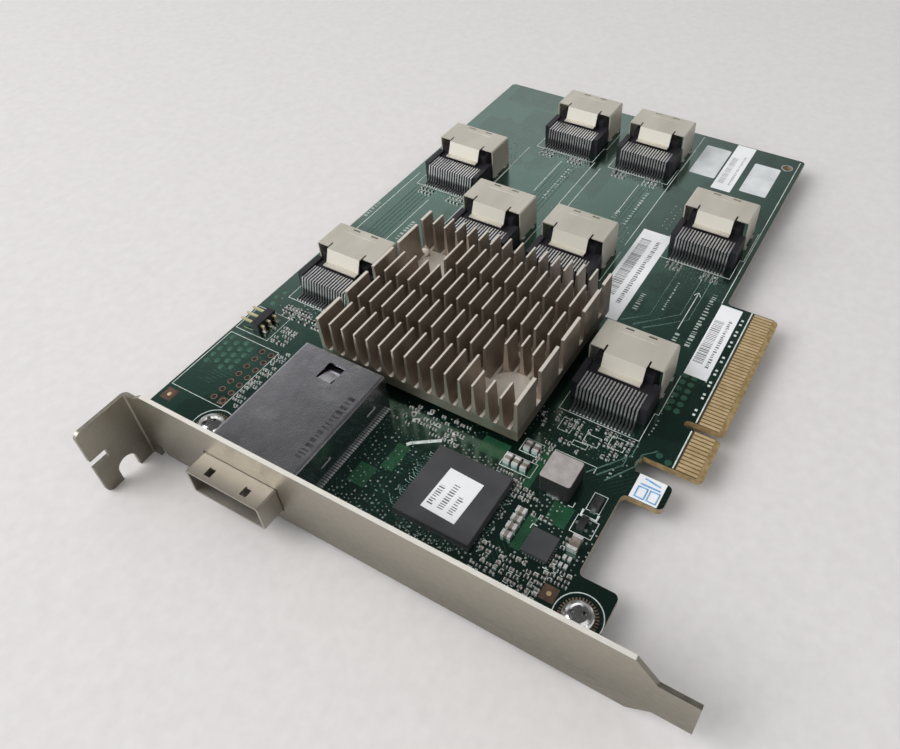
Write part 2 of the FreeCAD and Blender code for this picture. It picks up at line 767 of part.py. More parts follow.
def port_contacts(number):
    body = new_body(f"port_{number}_contacts")
    place(body, *PORTS[number])
    low = "recess_low + seat_gap"
    foot = "contact_bend + contact_run"
    profile = [
        ("-contact_start", f"{low} + contact_thick"),
        ("-contact_bend", f"{low} + contact_thick"),
        (f"-({foot})", "seat_gap + contact_thick"),
        (f"-({foot} + foot_long)", "seat_gap + contact_thick"),
        (f"-({foot} + foot_long)", "seat_gap"),
        (f"-({foot} - contact_thick)", "seat_gap"),
        ("-(contact_bend - contact_thick)", low),
        ("-contact_start", low),
    ]
    first = "-(contacts_in_row - 1) * contact_pitch / 2 - contact_wide / 2"
    repeat(body, pad(body, "Y", profile, first, "contact_wide"), "Y", "contact_pitch", "contacts_in_row")


def heat_sink():
    body = new_body("heat_sink")
    block = rectangle(SINK_NEAR, "sink_low", "sink_long", "sink_wide")
    pad(body, "Z", block, SINK_BOTTOM, f"sink_top - ({SINK_BOTTOM})")
    floor = f"{SINK_BOTTOM} + sink_base"

    # Round-bottomed channels part the tapered fins, and cross cuts part them into rows.
    gap = f"{FIN_PITCH} - fin_thick"
    mouth = f"{FIN_PITCH} - fin_tip"
    slot = channel(f"sink_low + fin_thick + ({gap}) / 2", gap, floor, mouth, "sink_top", CHANNEL_FLATS)
    first = cut(body, "X", slot, SINK_NEAR, "sink_long")
    repeat(body, first, "Y", FIN_PITCH, "fin_count - 1")
    cross = rectangle(f"{SINK_NEAR} + fin_row_pitch - fin_row_gap", floor,
                      "fin_row_gap", f"sink_top - ({floor})")
    first = cut(body, "Y", cross, "sink_low", "sink_wide")
    repeat(body, first, "X", "fin_row_pitch", "fin_row_gaps")

    # Two round pockets at opposite corners clear the fins down to the base.
    inset = f"fin_thick / 2 + pocket_fin * {FIN_PITCH}"
    near_x = f"{SINK_NEAR} + fin_row_pitch - fin_row_gap / 2"
    near_y = f"sink_low + {inset}"
    far_x = f"{SINK_NEAR} + far_pocket_row * fin_row_pitch + (fin_row_pitch - fin_row_gap) / 2"
    far_y = f"sink_low + sink_wide - ({inset})"
    for x, y in ((near_x, near_y), (far_x, far_y)):
        bore(body, "Z", x, y, "pocket_across", floor, f"sink_top - ({floor})")


def expander_chip():
    body = new_body("expander_chip")
    base = centred(SINK_MID_X, SINK_MID_Y, "chip_wide", "chip_wide")
    pad(body, "Z", base, "0", "chip_base_tall")
    lid = centred(SINK_MID_X, SINK_MID_Y, "chip_lid_wide", "chip_lid_wide")
    pad(body, "Z", lid, "chip_base_tall", "chip_tall - chip_base_tall")
    box_node("thermal_pad", f"{SINK_MID_X} - chip_lid_wide / 2", f"{SINK_MID_Y} - chip_lid_wide / 2",
             "chip_tall", "chip_lid_wide", "chip_lid_wide", "pad_thick")


def logic_chip():
    body = new_body("logic_chip")
    base = centred("logic_x", "logic_y", "logic_wide", "logic_wide")
    pad(body, "Z", base, "0", "logic_base_tall")
    inner = "logic_wide - 2 * logic_cap_inset"
    cap = centred("logic_x", "logic_y", inner, inner)
    pad(body, "Z", cap, "logic_base_tall", "logic_tall - logic_base_tall")
    doc.recompute()
    top = [f"Edge{i}" for i, e in enumerate(body.Tip.Shape.Edges, 1)
           if abs(e.BoundBox.ZMin - value("logic_tall")) < 1e-4]
    bevel_edges(body, top, "logic_cap_bevel")

    # The label is stuck on a little off the middle and a little askew.
    label = new_body("label_logic_chip")
    middle = ("logic_x - label_chip_off_x", "logic_y - label_chip_off_y")
    long, across = "label_chip_long / 2", "label_chip_across / 2"
    corners = []
    for side, back, up in (("-", "+", "-"), ("+", "-", "-"), ("+", "-", "+"), ("-", "+", "+")):
        corners.append((f"{middle[0]} {side} {long} {up} label_chip_skew * {across}",
                        f"{middle[1]} {up} {across} {back} label_chip_skew * {long}"))
    pad(label, "Z", corners, "logic_tall", "label_thick")


def power_parts():
    coil = new_body("power_inductor")
    pad(coil, "Z", centred("coil_x", "coil_y", "coil_wide", "coil_wide"), "0", "coil_tall")
    corners = [(f"coil_x {a} coil_wide / 2", f"coil_y {b} coil_wide / 2") for a in "+-" for b in "+-"]
    round_edges(coil, "Z", corners, "coil_round")
    box_node("power_chip", "power_chip_x - power_chip_wide / 2", "power_chip_y - power_chip_wide / 2",
             "0", "power_chip_wide", "power_chip_wide", "power_chip_tall")

    ceramics = []
    for name, way, count in CERAMIC_ROWS:
        sizes = ("ceramic_long", "ceramic_wide") if way == "Y" else ("ceramic_wide", "ceramic_long")
        for i in range(count):
            step_x = i if way == "X" else 0
            step_y = i if way == "Y" else 0
            x = f"{name}_x + {step_x} * ceramic_pitch - {sizes[0]} / 2"
            y = f"{name}_y + {step_y} * ceramic_pitch - {sizes[1]} / 2"
            ceramics.append(box(f"{name}_{i + 1}", x, y, "0", sizes[0], sizes[1], "ceramic_tall"))
    group_node("ceramic_capacitors", ceramics)

    resistors = []
    for i in range(SIZES["resistor_count"]):
        x = f"resistor_x + {i} * resistor_pitch - resistor_wide / 2"
        y = "resistor_y - resistor_long / 2"
        sizes = ("resistor_wide", "resistor_long", "resistor_tall")
        resistors.append(box(f"resistor_{i + 1}", x, y, "0", *sizes))
    group_node("sense_resistors", resistors)
    for label, name in (("output_capacitor", "bulk"), ("rectifier_diode", "diode"),
                        ("regulator_transistor", "transistor")):
        box_node(label, f"{name}_x - {name}_long / 2", f"{name}_y - {name}_wide / 2", "0",
                 f"{name}_long", f"{name}_wide", f"{name}_tall")


def pin_header():
    block = new_body("pin_header")
    outline = rectangle("pins_x", PINS_BLOCK_Y, "pins_count * pins_pitch", "pins_block_wide")
    pad(block, "Z", outline, "0", "pins_block_tall")
    first = "pins_x + pins_pitch / 2 - pin_thick / 2"
    passage = rectangle(first, "pin_high", "pin_thick", "pin_thick")
    hole = cut(block, "Y", passage, PINS_BLOCK_Y, "pins_block_wide")
    repeat(block, hole, "X", "pins_pitch", "pins_count")

    # Each pin runs out over the board's edge side and bends down to a pad behind the block.
    pins = new_body("header_pins")
    back = f"{PINS_BLOCK_Y} - pin_in"
    tip = f"{PINS_BLOCK_Y} + pins_block_wide + pin_out"
    profile = [
        (back, "0"),
        (f"{back} + pin_thick", "0"),
        (f"{back} + pin_thick", "pin_high"),
        (tip, "pin_high"),
        (tip, "pin_high + pin_thick"),
        (back, "pin_high + pin_thick"),
    ]
    repeat(pins, pad(pins, "X", profile, first, "pin_thick"), "X", "pins_pitch", "pins_count")


def labels():
    lows = {
        "label_wide": "port7_mid + shell_wide / 2 + label_wide_to_port",
        "label_serial": "label_serial_low",
        "label_rear": "label_rear_low",
    }
    for name, low in lows.items():
        box_node(name, f"{name}_near", low, "0", f"{name}_long", f"{name}_across", "label_thick")
    wide = f"{HOOK_FAR} - hook_near - 2 * label_hook_margin"
    box_node("label_hook", "hook_near + label_hook_margin", "hook_low + board_round", "0",
             wide, "board_low - hook_low - 2 * board_round", "label_thick")


circuit_board()
edge_contacts("edge_contacts_component_side", "0")
edge_contacts("edge_contacts_solder_side", "-board_thick - finger_thick")
slot_bracket()
bracket_screws()
external_port_cage()
external_port_connector()
for port in PORTS:
    port_shell(port)
    port_housing(port)
    port_contacts(port)
heat_sink()
expander_chip()
logic_chip()
power_parts()
pin_header()
labels()
doc.recompute()

for item in doc.Objects:
    if "Invalid" in item.State or "Error" in item.State:
        raise RuntimeError(f"{item.Name} did not rebuild")
os.makedirs("parts", exist_ok=True)
for node in nodes:
    if node.Shape.isNull() or not node.Shape.isValid():
        raise RuntimeError(f"{node.Label} has no valid shape")
    node.Shape.exportStep(f"parts/{node.Label}.step")
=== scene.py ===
import math
import random
import bpy
from mathutils import Matrix, Vector


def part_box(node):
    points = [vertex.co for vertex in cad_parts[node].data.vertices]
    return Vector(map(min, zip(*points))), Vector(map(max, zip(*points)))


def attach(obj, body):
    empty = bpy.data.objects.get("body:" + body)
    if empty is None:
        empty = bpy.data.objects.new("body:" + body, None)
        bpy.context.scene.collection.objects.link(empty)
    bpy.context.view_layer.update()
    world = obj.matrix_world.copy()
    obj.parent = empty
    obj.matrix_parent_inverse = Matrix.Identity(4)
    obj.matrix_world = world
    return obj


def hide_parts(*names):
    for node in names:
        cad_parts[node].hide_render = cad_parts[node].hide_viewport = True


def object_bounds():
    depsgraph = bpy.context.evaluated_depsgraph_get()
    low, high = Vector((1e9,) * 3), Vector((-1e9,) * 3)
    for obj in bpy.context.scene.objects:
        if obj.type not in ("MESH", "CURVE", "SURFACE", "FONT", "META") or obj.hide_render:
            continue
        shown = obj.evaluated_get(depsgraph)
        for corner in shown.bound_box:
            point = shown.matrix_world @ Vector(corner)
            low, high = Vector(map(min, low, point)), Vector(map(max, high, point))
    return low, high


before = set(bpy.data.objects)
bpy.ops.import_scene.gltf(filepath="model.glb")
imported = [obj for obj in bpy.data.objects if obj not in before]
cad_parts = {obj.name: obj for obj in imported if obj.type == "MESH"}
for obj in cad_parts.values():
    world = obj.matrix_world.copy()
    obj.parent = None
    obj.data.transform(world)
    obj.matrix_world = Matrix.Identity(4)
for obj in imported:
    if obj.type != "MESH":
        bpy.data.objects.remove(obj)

# The card lies flat: X runs away from the bracket, Y from the card edge to the top edge, Z up.
# Places and sizes below are in millimetres and become metres when a mesh is made.
mm = 0.001
# what stands on a face starts a little inside it
sunk = -0.005
sides = (-1, 1)
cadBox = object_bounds()
print("frame loaded with", len(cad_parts), "nodes")


def boxOf(name):
    return [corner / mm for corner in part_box(name)]


# loops of points are stacked into closed skins
def squareLoop(x, y, wide, deep, z, corner=0.0, steps=1):
    loop = []
    for quarter, (sx, sy) in enumerate(((1, 1), (-1, 1), (-1, -1), (1, -1))):
        cx = x + sx * (wide / 2 - corner)
        cy = y + sy * (deep / 2 - corner)
        if corner == 0:
            loop.append((cx, cy, z))
            continue
        for i in range(steps + 1):
            angle = math.pi / 2 * (quarter + i / steps)
            loop.append((cx + corner * math.cos(angle), cy + corner * math.sin(angle), z))
    return loop


def roundLoop(x, y, radius, z, steps):
    turns = [2 * math.pi * i / steps for i in range(steps)]
    return [(x + radius * math.cos(a), y + radius * math.sin(a), z) for a in turns]


def stackLoops(loops, wrap=False):
    # joins loops of equal length into one closed skin
    count = len(loops[0])
    last = (len(loops) - 1) * count
    points = [p for loop in loops for p in loop]
    faces = []
    for i in range(len(loops) if wrap else len(loops) - 1):
        a = i * count
        b = (i + 1) % len(loops) * count
        for k in range(count):
            n = (k + 1) % count
            faces.append((a + k, a + n, b + n, b + k))
    if not wrap:
        faces.append(tuple(reversed(range(count))))
        faces.append(tuple(range(last, last + count)))
    return points, faces


def boxSkin(profile, x=0.0):
    # from rows of width, depth and height
    return stackLoops([squareLoop(x, 0, *row) for row in profile])


def roundSkin(profile, steps, wrap=False):
    # from pairs of radius and height
    return stackLoops([roundLoop(0, 0, radius, z, steps) for radius, z in profile], wrap)


def makeMesh(name, skins):
    points = []
    faces = []
    for skinPoints, skinFaces in skins:
        start = len(points)
        points += [Vector(p) * mm for p in skinPoints]
        faces += [tuple(start + i for i in face) for face in skinFaces]
    mesh = bpy.data.meshes.new(name)
    mesh.from_pydata(points, [], faces)
    mesh.update()
    return mesh


def addObject(name, data):
    item = bpy.data.objects.new(name, data)
    bpy.context.scene.collection.objects.link(item)
    return item


def addPiece(name, mesh, material):
    piece = addObject(name, mesh)
    mesh.materials.clear()
    mesh.materials.append(paint[material])
    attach(piece, "root")
    return piece


def bakedMesh(item):
    bpy.context.view_layer.update()
    return bpy.data.meshes.new_from_object(item.evaluated_get(bpy.context.evaluated_depsgraph_get()))


def feed(tree, node, links):
    # links maps an input of the node to a socket that feeds it, or to a plain value
    for key, source in links.items():
        if isinstance(source, bpy.types.NodeSocket):
            tree.links.new(source, node.inputs[key])
        else:
            node.inputs[key].default_value = source


def addNode(tree, kind, links=None, pick=0, **settings):
    # gives the picked output of the new node, or all of them
    node = tree.nodes.new(kind)
    for key, setting in settings.items():
        setattr(node, key, setting)
    feed(tree, node, links or {})
    return node.outputs if pick is None else node.outputs[pick]


def sums(tree, kind, *terms, clamp=False):
    return addNode(tree, "ShaderNodeMath", dict(enumerate(terms)), operation=kind, use_clamp=clamp)


def nodeTree(kind, name, inputs, outputs):
    tree = bpy.data.node_groups.new(name, kind)
    for label, socketKind, value in inputs:
        socket = tree.interface.new_socket(label, in_out="INPUT", socket_type="NodeSocket" + socketKind)
        if value is not None:
            socket.default_value = value
    for label, socketKind in outputs:
        tree.interface.new_socket(label, in_out="OUTPUT", socket_type="NodeSocket" + socketKind)
    return tree, tree.nodes.new("NodeGroupInput").outputs, tree.nodes.new("NodeGroupOutput")


def growTree(name, inputs, grow):
    # grows geometry on a carrier mesh and paints it
    tree, given, leave = nodeTree(
        "GeometryNodeTree", name, [("Geometry", "Geometry", None), ("Material", "Material", None), *inputs],
        [("Geometry", "Geometry")])
    real = addNode(tree, "GeometryNodeRealizeInstances", {"Geometry": grow(tree, given)})
    painted = addNode(tree, "GeometryNodeSetMaterial", {"Geometry": real, "Material": given["Material"]})
    feed(tree, leave, {0: painted})
    return tree


def copiesAt(tree, given):
    # one copy of the template at each point, turned and stretched by the point's attributes
    points = addNode(tree, "GeometryNodeMeshToPoints", {"Mesh": given["Geometry"]})
    shape = addNode(tree, "GeometryNodeObjectInfo", {"Object": given["Template"]}, "Geometry")
    turn, stretch = [addNode(tree, "GeometryNodeInputNamedAttribute", {"Name": name}, "Attribute", data_type=kind)
                     for name, kind in (("turn", "FLOAT"), ("stretch", "FLOAT_VECTOR"))]
    spin = addNode(tree, "ShaderNodeCombineXYZ", {"Z": turn})
    return addNode(tree, "GeometryNodeInstanceOnPoints", {
        "Points": points, "Instance": shape, "Rotation": spin, "Scale": stretch})


def scatterOver(tree, given):
    # copies of the template over a patch, a set distance apart, in random quarter turns
    points = addNode(tree, "GeometryNodeDistributePointsOnFaces", {
        "Mesh": given["Geometry"], "Distance Min": given["Spacing"], "Density Max": 3e6,
        "Density Factor": given["Share"], "Seed": given["Seed"]}, "Points", distribute_method="POISSON")
    shape = addNode(tree, "GeometryNodeObjectInfo", {"Object": given["Template"]}, "Geometry")
    quarters = addNode(tree, "FunctionNodeRandomValue", {4: 0, 5: 3, "Seed": given["Seed"]}, 2, data_type="INT")
    spin = addNode(tree, "ShaderNodeCombineXYZ", {"Z": sums(tree, "MULTIPLY", quarters, math.pi / 2)})
    return addNode(tree, "GeometryNodeInstanceOnPoints", {"Points": points, "Instance": shape, "Rotation": spin})


def stripAlong(tree, given):
    # a flat strip with a rectangular section along each line of the carrier
    lines = addNode(tree, "GeometryNodeMeshToCurve", {"Mesh": given["Geometry"]})
    level = addNode(tree, "GeometryNodeSetCurveNormal", {"Curve": lines}, mode="Z_UP")
    section = addNode(tree, "GeometryNodeCurvePrimitiveQuadrilateral", {
        "Width": given["Width"], "Height": given["Height"]})
    return addNode(tree, "GeometryNodeCurveToMesh", {"Curve": level, "Profile Curve": section, "Fill Caps": True})


shapeInput = ("Template", "Object", None)
trees = {
    "copies": growTree("copiesAtPoints", [shapeInput], copiesAt),
    "scatter": growTree("scatterOnPatch", [shapeInput, ("Spacing", "Float", 0.001), ("Share", "Float", 1.0),
                                           ("Seed", "Int", 1)], scatterOver),
    "strip": growTree("stripAlongLines", [("Width", "Float", 0.0002), ("Height", "Float", 0.00003)], stripAlong),
}


def growPiece(name, carrier, tree, material, slotName, **sizes):
    piece = addObject(name, carrier)
    modifier = piece.modifiers.new("grow", "NODES")
    modifier.node_group = trees[tree]
    sizes["Material"] = paint[material]
    for item in trees[tree].interface.items_tree:
        if item.in_out == "INPUT" and item.name in sizes:
            modifier[item.identifier] = sizes[item.name]
    mesh = bakedMesh(piece)
    bpy.data.objects.remove(piece)
    return addPiece(name, mesh, material)


def pointCarrier(points):
    mesh = bpy.data.meshes.new("points")
    mesh.from_pydata([Vector(p[:3]) * mm for p in points], [], [])
    turn = mesh.attributes.new("turn", "FLOAT", "POINT")
    stretch = mesh.attributes.new("stretch", "FLOAT_VECTOR", "POINT")
    for i, p in enumerate(points):
        turn.data[i].value = p[3]
        stretch.data[i].vector = p[4]
    return mesh


def patchCarrier(patches):
    # patches are (x low, x high, y low, y high)
    loops = [[(x0, y0, 0), (x1, y0, 0), (x1, y1, 0), (x0, y1, 0)] for x0, x1, y0, y1 in patches]
    return makeMesh("patches", [(loop, [(0, 1, 2, 3)]) for loop in loops])


def lineCarrier(lines, z):
    # a line that comes back to its first point is closed
    points = []
    edges = []
    for line in lines:
        closed = line[0] == line[-1]
        start = len(points)
        own = line[:-1] if closed else line
        points += [Vector((x, y, z)) * mm for x, y in own]
        edges += [(start + i, start + i + 1) for i in range(len(own) - 1)]
        if closed:
            edges.append((start + len(own) - 1, start))
    mesh = bpy.data.meshes.new("lines")
    mesh.from_pydata(points, edges, [])
    return mesh


def rectLine(x0, x1, y0, y1):
    return [(x0, y0), (x1, y0), (x1, y1), (x0, y1), (x0, y0)]


def circleLine(x, y, radius, steps=40):
    points = [(px, py) for px, py, _ in roundLoop(x, y, radius, 0, steps)]
    return points + points[:1]


# a point for a unit template: where it stands, its turn and its size
def spot(x, y, wide, deep, tall, z=sunk, turn=0.0):
    return (x, y, z, turn, (wide, deep, tall))


def spots(places, size, z=sunk):
    return [spot(x, y, *size, z) for x, y in places]


def block(x0, x1, y0, y1, z0, z1):
    return spot((x0 + x1) / 2, (y0 + y1) / 2, x1 - x0, y1 - y0, z1 - z0, z0)


def grid(x, y, wide, deep, stepX, stepY):
    return [(x + i * stepX, y + k * stepY) for i in range(int(wide / stepX) + 1)
            for k in range(int(deep / stepY) + 1)]


def evenRow(middle, count, pitch):
    return [middle + (i - (count - 1) / 2) * pitch for i in range(count)]


def axes(tree, kind):
    # the X, Y and Z of a kind of coordinates
    place = addNode(tree, "ShaderNodeTexCoord", pick=kind)
    return addNode(tree, "ShaderNodeSeparateXYZ", {"Vector": place}, None)


def grainGroup():
    # noise on object coordinates, spread between a low and a high value
    tree, given, leave = nodeTree(
        "ShaderNodeTree", "grainField",
        [("Scale", "Float", 500.0), ("Stretch", "Vector", (1, 1, 1)), ("Detail", "Float", 3.0),
         ("Low", "Float", 0.35), ("High", "Float", 0.65)],
        [("Mask", "Float")])
    place = addNode(tree, "ShaderNodeTexCoord", pick="Object")
    mapped = addNode(tree, "ShaderNodeMapping", {"Vector": place, "Scale": given["Stretch"]})
    noise = addNode(tree, "ShaderNodeTexNoise", {
        "Vector": mapped, "Scale": given["Scale"], "Detail": given["Detail"]}, "Fac")
    mask = addNode(tree, "ShaderNodeMapRange", {
        "Value": noise, "From Min": given["Low"], "From Max": given["High"]}, "Result")
    feed(tree, leave, {"Mask": mask})
    return tree


def faceGroup():
    # whether a face is level, and how far the point is above a height on the piece
    tree, given, leave = nodeTree(
        "ShaderNodeTree", "faceAndHeight",
        [("Flatness", "Float", 0.9), ("Height", "Float", 0.0), ("Fade", "Float", 0.0005)],
        [("Level", "Float"), ("Above", "Float")])
    upright = sums(tree, "ABSOLUTE", axes(tree, "Normal")["Z"])
    lift = sums(tree, "SUBTRACT", axes(tree, "Object")["Z"], given["Height"])
    feed(tree, leave, {"Level": sums(tree, "GREATER_THAN", upright, given["Flatness"]),
                       "Above": sums(tree, "DIVIDE", lift, given["Fade"], clamp=True)})
    return tree


groups = {"grain": grainGroup(), "face": faceGroup()}


def useGroup(tree, kind, **inputs):
    node = tree.nodes.new("ShaderNodeGroup")
    node.node_tree = groups[kind]
    feed(tree, node, inputs)
    return node.outputs


def newMaterial(name, links):
    material = bpy.data.materials.new(name)
    material.use_nodes = True
    shader = material.node_tree.nodes["Principled BSDF"]
    feed(material.node_tree, shader, links)
    return material, material.node_tree, shader


def mixColour(tree, factor, first, second):
    shades = [(*shade, 1) if isinstance(shade, tuple) else shade for shade in (first, second)]
    return addNode(tree, "ShaderNodeMix", {"Factor": factor, 6: shades[0], 7: shades[1]}, 2, data_type="RGBA")


def mapValue(tree, source, low, high):
    return addNode(tree, "ShaderNodeMapRange", {"Value": source, "To Min": low, "To Max": high}, "Result")


def addBump(tree, shader, height, depth):
    bump = addNode(tree, "ShaderNodeBump", {"Height": height, "Distance": depth * mm, "Strength": 1.0}, "Normal")
    feed(tree, shader, {"Normal": bump})


def grainy(name, look):
    # a material with two tones, a range of roughness and a fine grain
    material, tree, shader = newMaterial(name, {
        "Metallic": look.get("metallic", 0.0), "Coat Weight": look.get("coat", 0.0), "Coat Roughness": 0.2})
    stretch = look.get("stretch", (1, 1, 1))
    patch = useGroup(tree, "grain", Scale=look["patch"], Stretch=stretch, Low=0.32, High=0.68)["Mask"]
    grain = useGroup(tree, "grain", Scale=look["grain"], Stretch=stretch, Detail=5.0)["Mask"]
    feed(tree, shader, {"Base Color": mixColour(tree, patch, look["dark"], look["pale"]),
                        "Roughness": mapValue(tree, grain, *look["rough"])})
    addBump(tree, shader, grain, look["depth"])
    return material, tree, shader


def baseColour(shader):
    return shader.inputs["Base Color"].links[0].from_socket


def paintLightAbove(tree, shader, height, fade, tone):
    # changes the tone above a height as painted light: painted highlights on the fin tips, the bracket rim and the
    # contact bends, and a painted reflection up the bracket
    above = useGroup(tree, "face", Height=height * mm, Fade=fade * mm)["Above"]
    feed(tree, shader, {"Base Color": mixColour(tree, above, baseColour(shader), tone)})
    return above


lookKeys = ("dark", "pale", "metallic", "rough", "patch", "grain", "depth")
lookRows = {
    "goldPlate": ((0.70, 0.50, 0.25), (0.92, 0.71, 0.41), 0.6, (0.30, 0.46), 420, 2600, 0.004),
    "paleGold": ((0.62, 0.53, 0.31), (0.80, 0.72, 0.47), 0.6, (0.26, 0.40), 420, 2600, 0.003),
    "brightSteel": ((0.72, 0.72, 0.72), (0.90, 0.90, 0.89), 1.0, (0.08, 0.20), 500, 2200, 0.004),
    "creamNickel": ((0.52, 0.487, 0.415), (0.62, 0.585, 0.51), 0.35, (0.38, 0.48), 140, 3000, 0.004),
    "tinPlate": ((0.56, 0.56, 0.57), (0.84, 0.84, 0.85), 1.0, (0.22, 0.40), 700, 4000, 0.004),
    "brightTin": ((0.60, 0.60, 0.60), (0.88, 0.88, 0.87), 0.45, (0.24, 0.42), 900, 4000, 0.004),
    "viaTin": ((0.17, 0.20, 0.18), (0.46, 0.49, 0.46), 0.3, (0.26, 0.44), 1400, 4000, 0.003),
    "darkMoulding": ((0.010, 0.009, 0.013), (0.022, 0.020, 0.027), 0.0, (0.38, 0.55), 200, 5000, 0.004),
    "chipMoulding": ((0.043, 0.044, 0.047), (0.065, 0.066, 0.070), 0.0, (0.45, 0.62), 150, 6000, 0.005),
    "rubberPad": ((0.12, 0.12, 0.13), (0.20, 0.20, 0.21), 0.0, (0.7, 0.9), 300, 3000, 0.01),
    "ceramicBody": ((0.12, 0.095, 0.075), (0.30, 0.26, 0.22), 0.0, (0.35, 0.5), 420, 3000, 0.003),
    "resistorBody": ((0.010, 0.010, 0.012), (0.05, 0.05, 0.05), 0.0, (0.3, 0.5), 420, 3000, 0.003),
    "paper": ((0.80, 0.81, 0.83), (0.89, 0.90, 0.91), 0.0, (0.42, 0.56), 120, 2600, 0.004),
    "silkInk": ((0.50, 0.56, 0.53), (0.80, 0.84, 0.81), 0.0, (0.5, 0.7), 900, 5000, 0.003),
    "fadedSilk": ((0.26, 0.32, 0.29), (0.46, 0.52, 0.48), 0.0, (0.5, 0.7), 900, 5000, 0.003),
    "whiteField": ((0.55, 0.58, 0.585), (0.74, 0.76, 0.765), 0.0, (0.5, 0.7), 160, 3000, 0.003),
    "greyInk": ((0.10, 0.10, 0.105), (0.19, 0.19, 0.195), 0.0, (0.5, 0.7), 900, 5000, 0.002),
    "faintInk": ((0.34, 0.34, 0.35), (0.46, 0.46, 0.47), 0.0, (0.5, 0.7), 900, 5000, 0.002),
    "printInk": ((0.012, 0.012, 0.014), (0.05, 0.05, 0.055), 0.0, (0.5, 0.7), 900, 5000, 0.002),
    "blueInk": ((0.10, 0.33, 0.66), (0.22, 0.50, 0.80), 0.0, (0.5, 0.7), 900, 5000, 0.002),
    "copperRing": ((0.24, 0.13, 0.095), (0.40, 0.25, 0.185), 0.7, (0.35, 0.55), 900, 4000, 0.004),
    "boreShade": ((0.004, 0.005, 0.005), (0.012, 0.016, 0.014), 0.0, (0.6, 0.8), 900, 4000, 0.002),
    "bareLaminate": ((0.055, 0.030, 0.016), (0.12, 0.070, 0.040), 0.0, (0.4, 0.55), 600, 3000, 0.004),
    "greenTrace": ((0.10, 0.22, 0.178), (0.15, 0.30, 0.25), 0.85, (0.16, 0.24), 300, 3000, 0.001),
    "maskedDot": ((0.045, 0.150, 0.105), (0.075, 0.21, 0.155), 0.75, (0.26, 0.38), 500, 3000, 0.003),
    "maskedCopper": ((0.008, 0.055, 0.024), (0.014, 0.085, 0.036), 0.0, (0.24, 0.36), 260, 2400, 0.004),
}
looks = {name: dict(zip(lookKeys, row)) for name, row in lookRows.items()}
looks["creamNickel"]["stretch"] = (0.3, 1, 1)
for name, coat in (("greenTrace", 1.0), ("maskedDot", 0.8), ("maskedCopper", 0.5)):
    looks[name]["coat"] = coat


def boardMaterial():
    # copper shines green through the mask
    look = dict(deep=(0.027, 0.083, 0.062), pour=(0.039, 0.114, 0.086), line=(0.062, 0.155, 0.122), copper=0.97,
                edge=(0.27, 0.185, 0.075), weave=(0.42, 0.30, 0.135), gap=(0.10, 0.062, 0.026), rough=(0.6, 0.24),
                cell=95, patch=62, lines=1250, ways=4.0, thin=0.40, quiet=0.45, fingerX=44.9, fingerY=5.9,
                traceRelief=0.45, grainRelief=0.25, depth=0.018)
    material, tree, shader = newMaterial(
        "boardMask", {"Specular IOR Level": 0.4, "Coat Weight": 1.0, "Coat Roughness": 0.14})
    point = axes(tree, "Object")
    flat = addNode(tree, "ShaderNodeCombineXYZ", {"X": point["X"], "Y": point["Y"]})

    def cells(scale, distance):
        tones = addNode(tree, "ShaderNodeTexVoronoi", {"Vector": flat, "Scale": scale}, "Color", distance=distance)
        return addNode(tree, "ShaderNodeSeparateColor", {"Color": tones}, None)

    # each cell of the layout runs its traces in one of four directions
    layout = cells(look["cell"], "MANHATTAN")
    way = sums(tree, "FLOOR", sums(tree, "MULTIPLY", layout["Red"], look["ways"]))
    way = sums(tree, "MULTIPLY", way, math.pi / look["ways"])
    along = sums(tree, "MULTIPLY", point["X"], sums(tree, "COSINE", way))
    across = sums(tree, "MULTIPLY", point["Y"], sums(tree, "SINE", way))
    wave = sums(tree, "MULTIPLY", sums(tree, "ADD", along, across), look["lines"])
    thin = sums(tree, "GREATER_THAN", sums(tree, "PINGPONG", wave, 0.5), look["thin"])
    busy = sums(tree, "GREATER_THAN", layout["Green"], look["quiet"])
    breaks = useGroup(tree, "grain", Scale=230.0, Low=0.46, High=0.50)["Mask"]
    traces = sums(tree, "MULTIPLY", sums(tree, "MULTIPLY", thin, busy), breaks)
    poured = sums(tree, "GREATER_THAN", cells(look["patch"], "CHEBYCHEV")["Blue"], 0.5)
    green = mixColour(tree, traces, mixColour(tree, poured, look["deep"], look["pour"]), look["line"])

    # bare laminate shows on the cut edges and in the contact zone of the card edge
    weave = useGroup(tree, "grain", Scale=900.0, Stretch=(1, 1, 3), Low=0.4, High=0.6)["Mask"]
    level = useGroup(tree, "face", Flatness=0.97)["Level"]
    fingers = sums(tree, "MULTIPLY", sums(tree, "LESS_THAN", point["Y"], look["fingerY"] * mm),
                   sums(tree, "GREATER_THAN", point["X"], look["fingerX"] * mm))
    masked = sums(tree, "SUBTRACT", level, fingers, clamp=True)
    bare = sums(tree, "MULTIPLY", level, fingers)
    laminate = mixColour(tree, bare, mixColour(tree, weave, look["edge"], look["weave"]), look["gap"])
    feed(tree, shader, {"Base Color": mixColour(tree, masked, laminate, green),
                        "Roughness": mapValue(tree, masked, *look["rough"]),
                        "Metallic": mapValue(tree, masked, 0.0, look["copper"])})
    orange = useGroup(tree, "grain", Scale=1400.0, Detail=2.0)["Mask"]
    relief = sums(tree, "ADD", sums(tree, "MULTIPLY", traces, look["traceRelief"]),
                  sums(tree, "MULTIPLY", orange, look["grainRelief"]))
    addBump(tree, shader, relief, look["depth"])
    return material


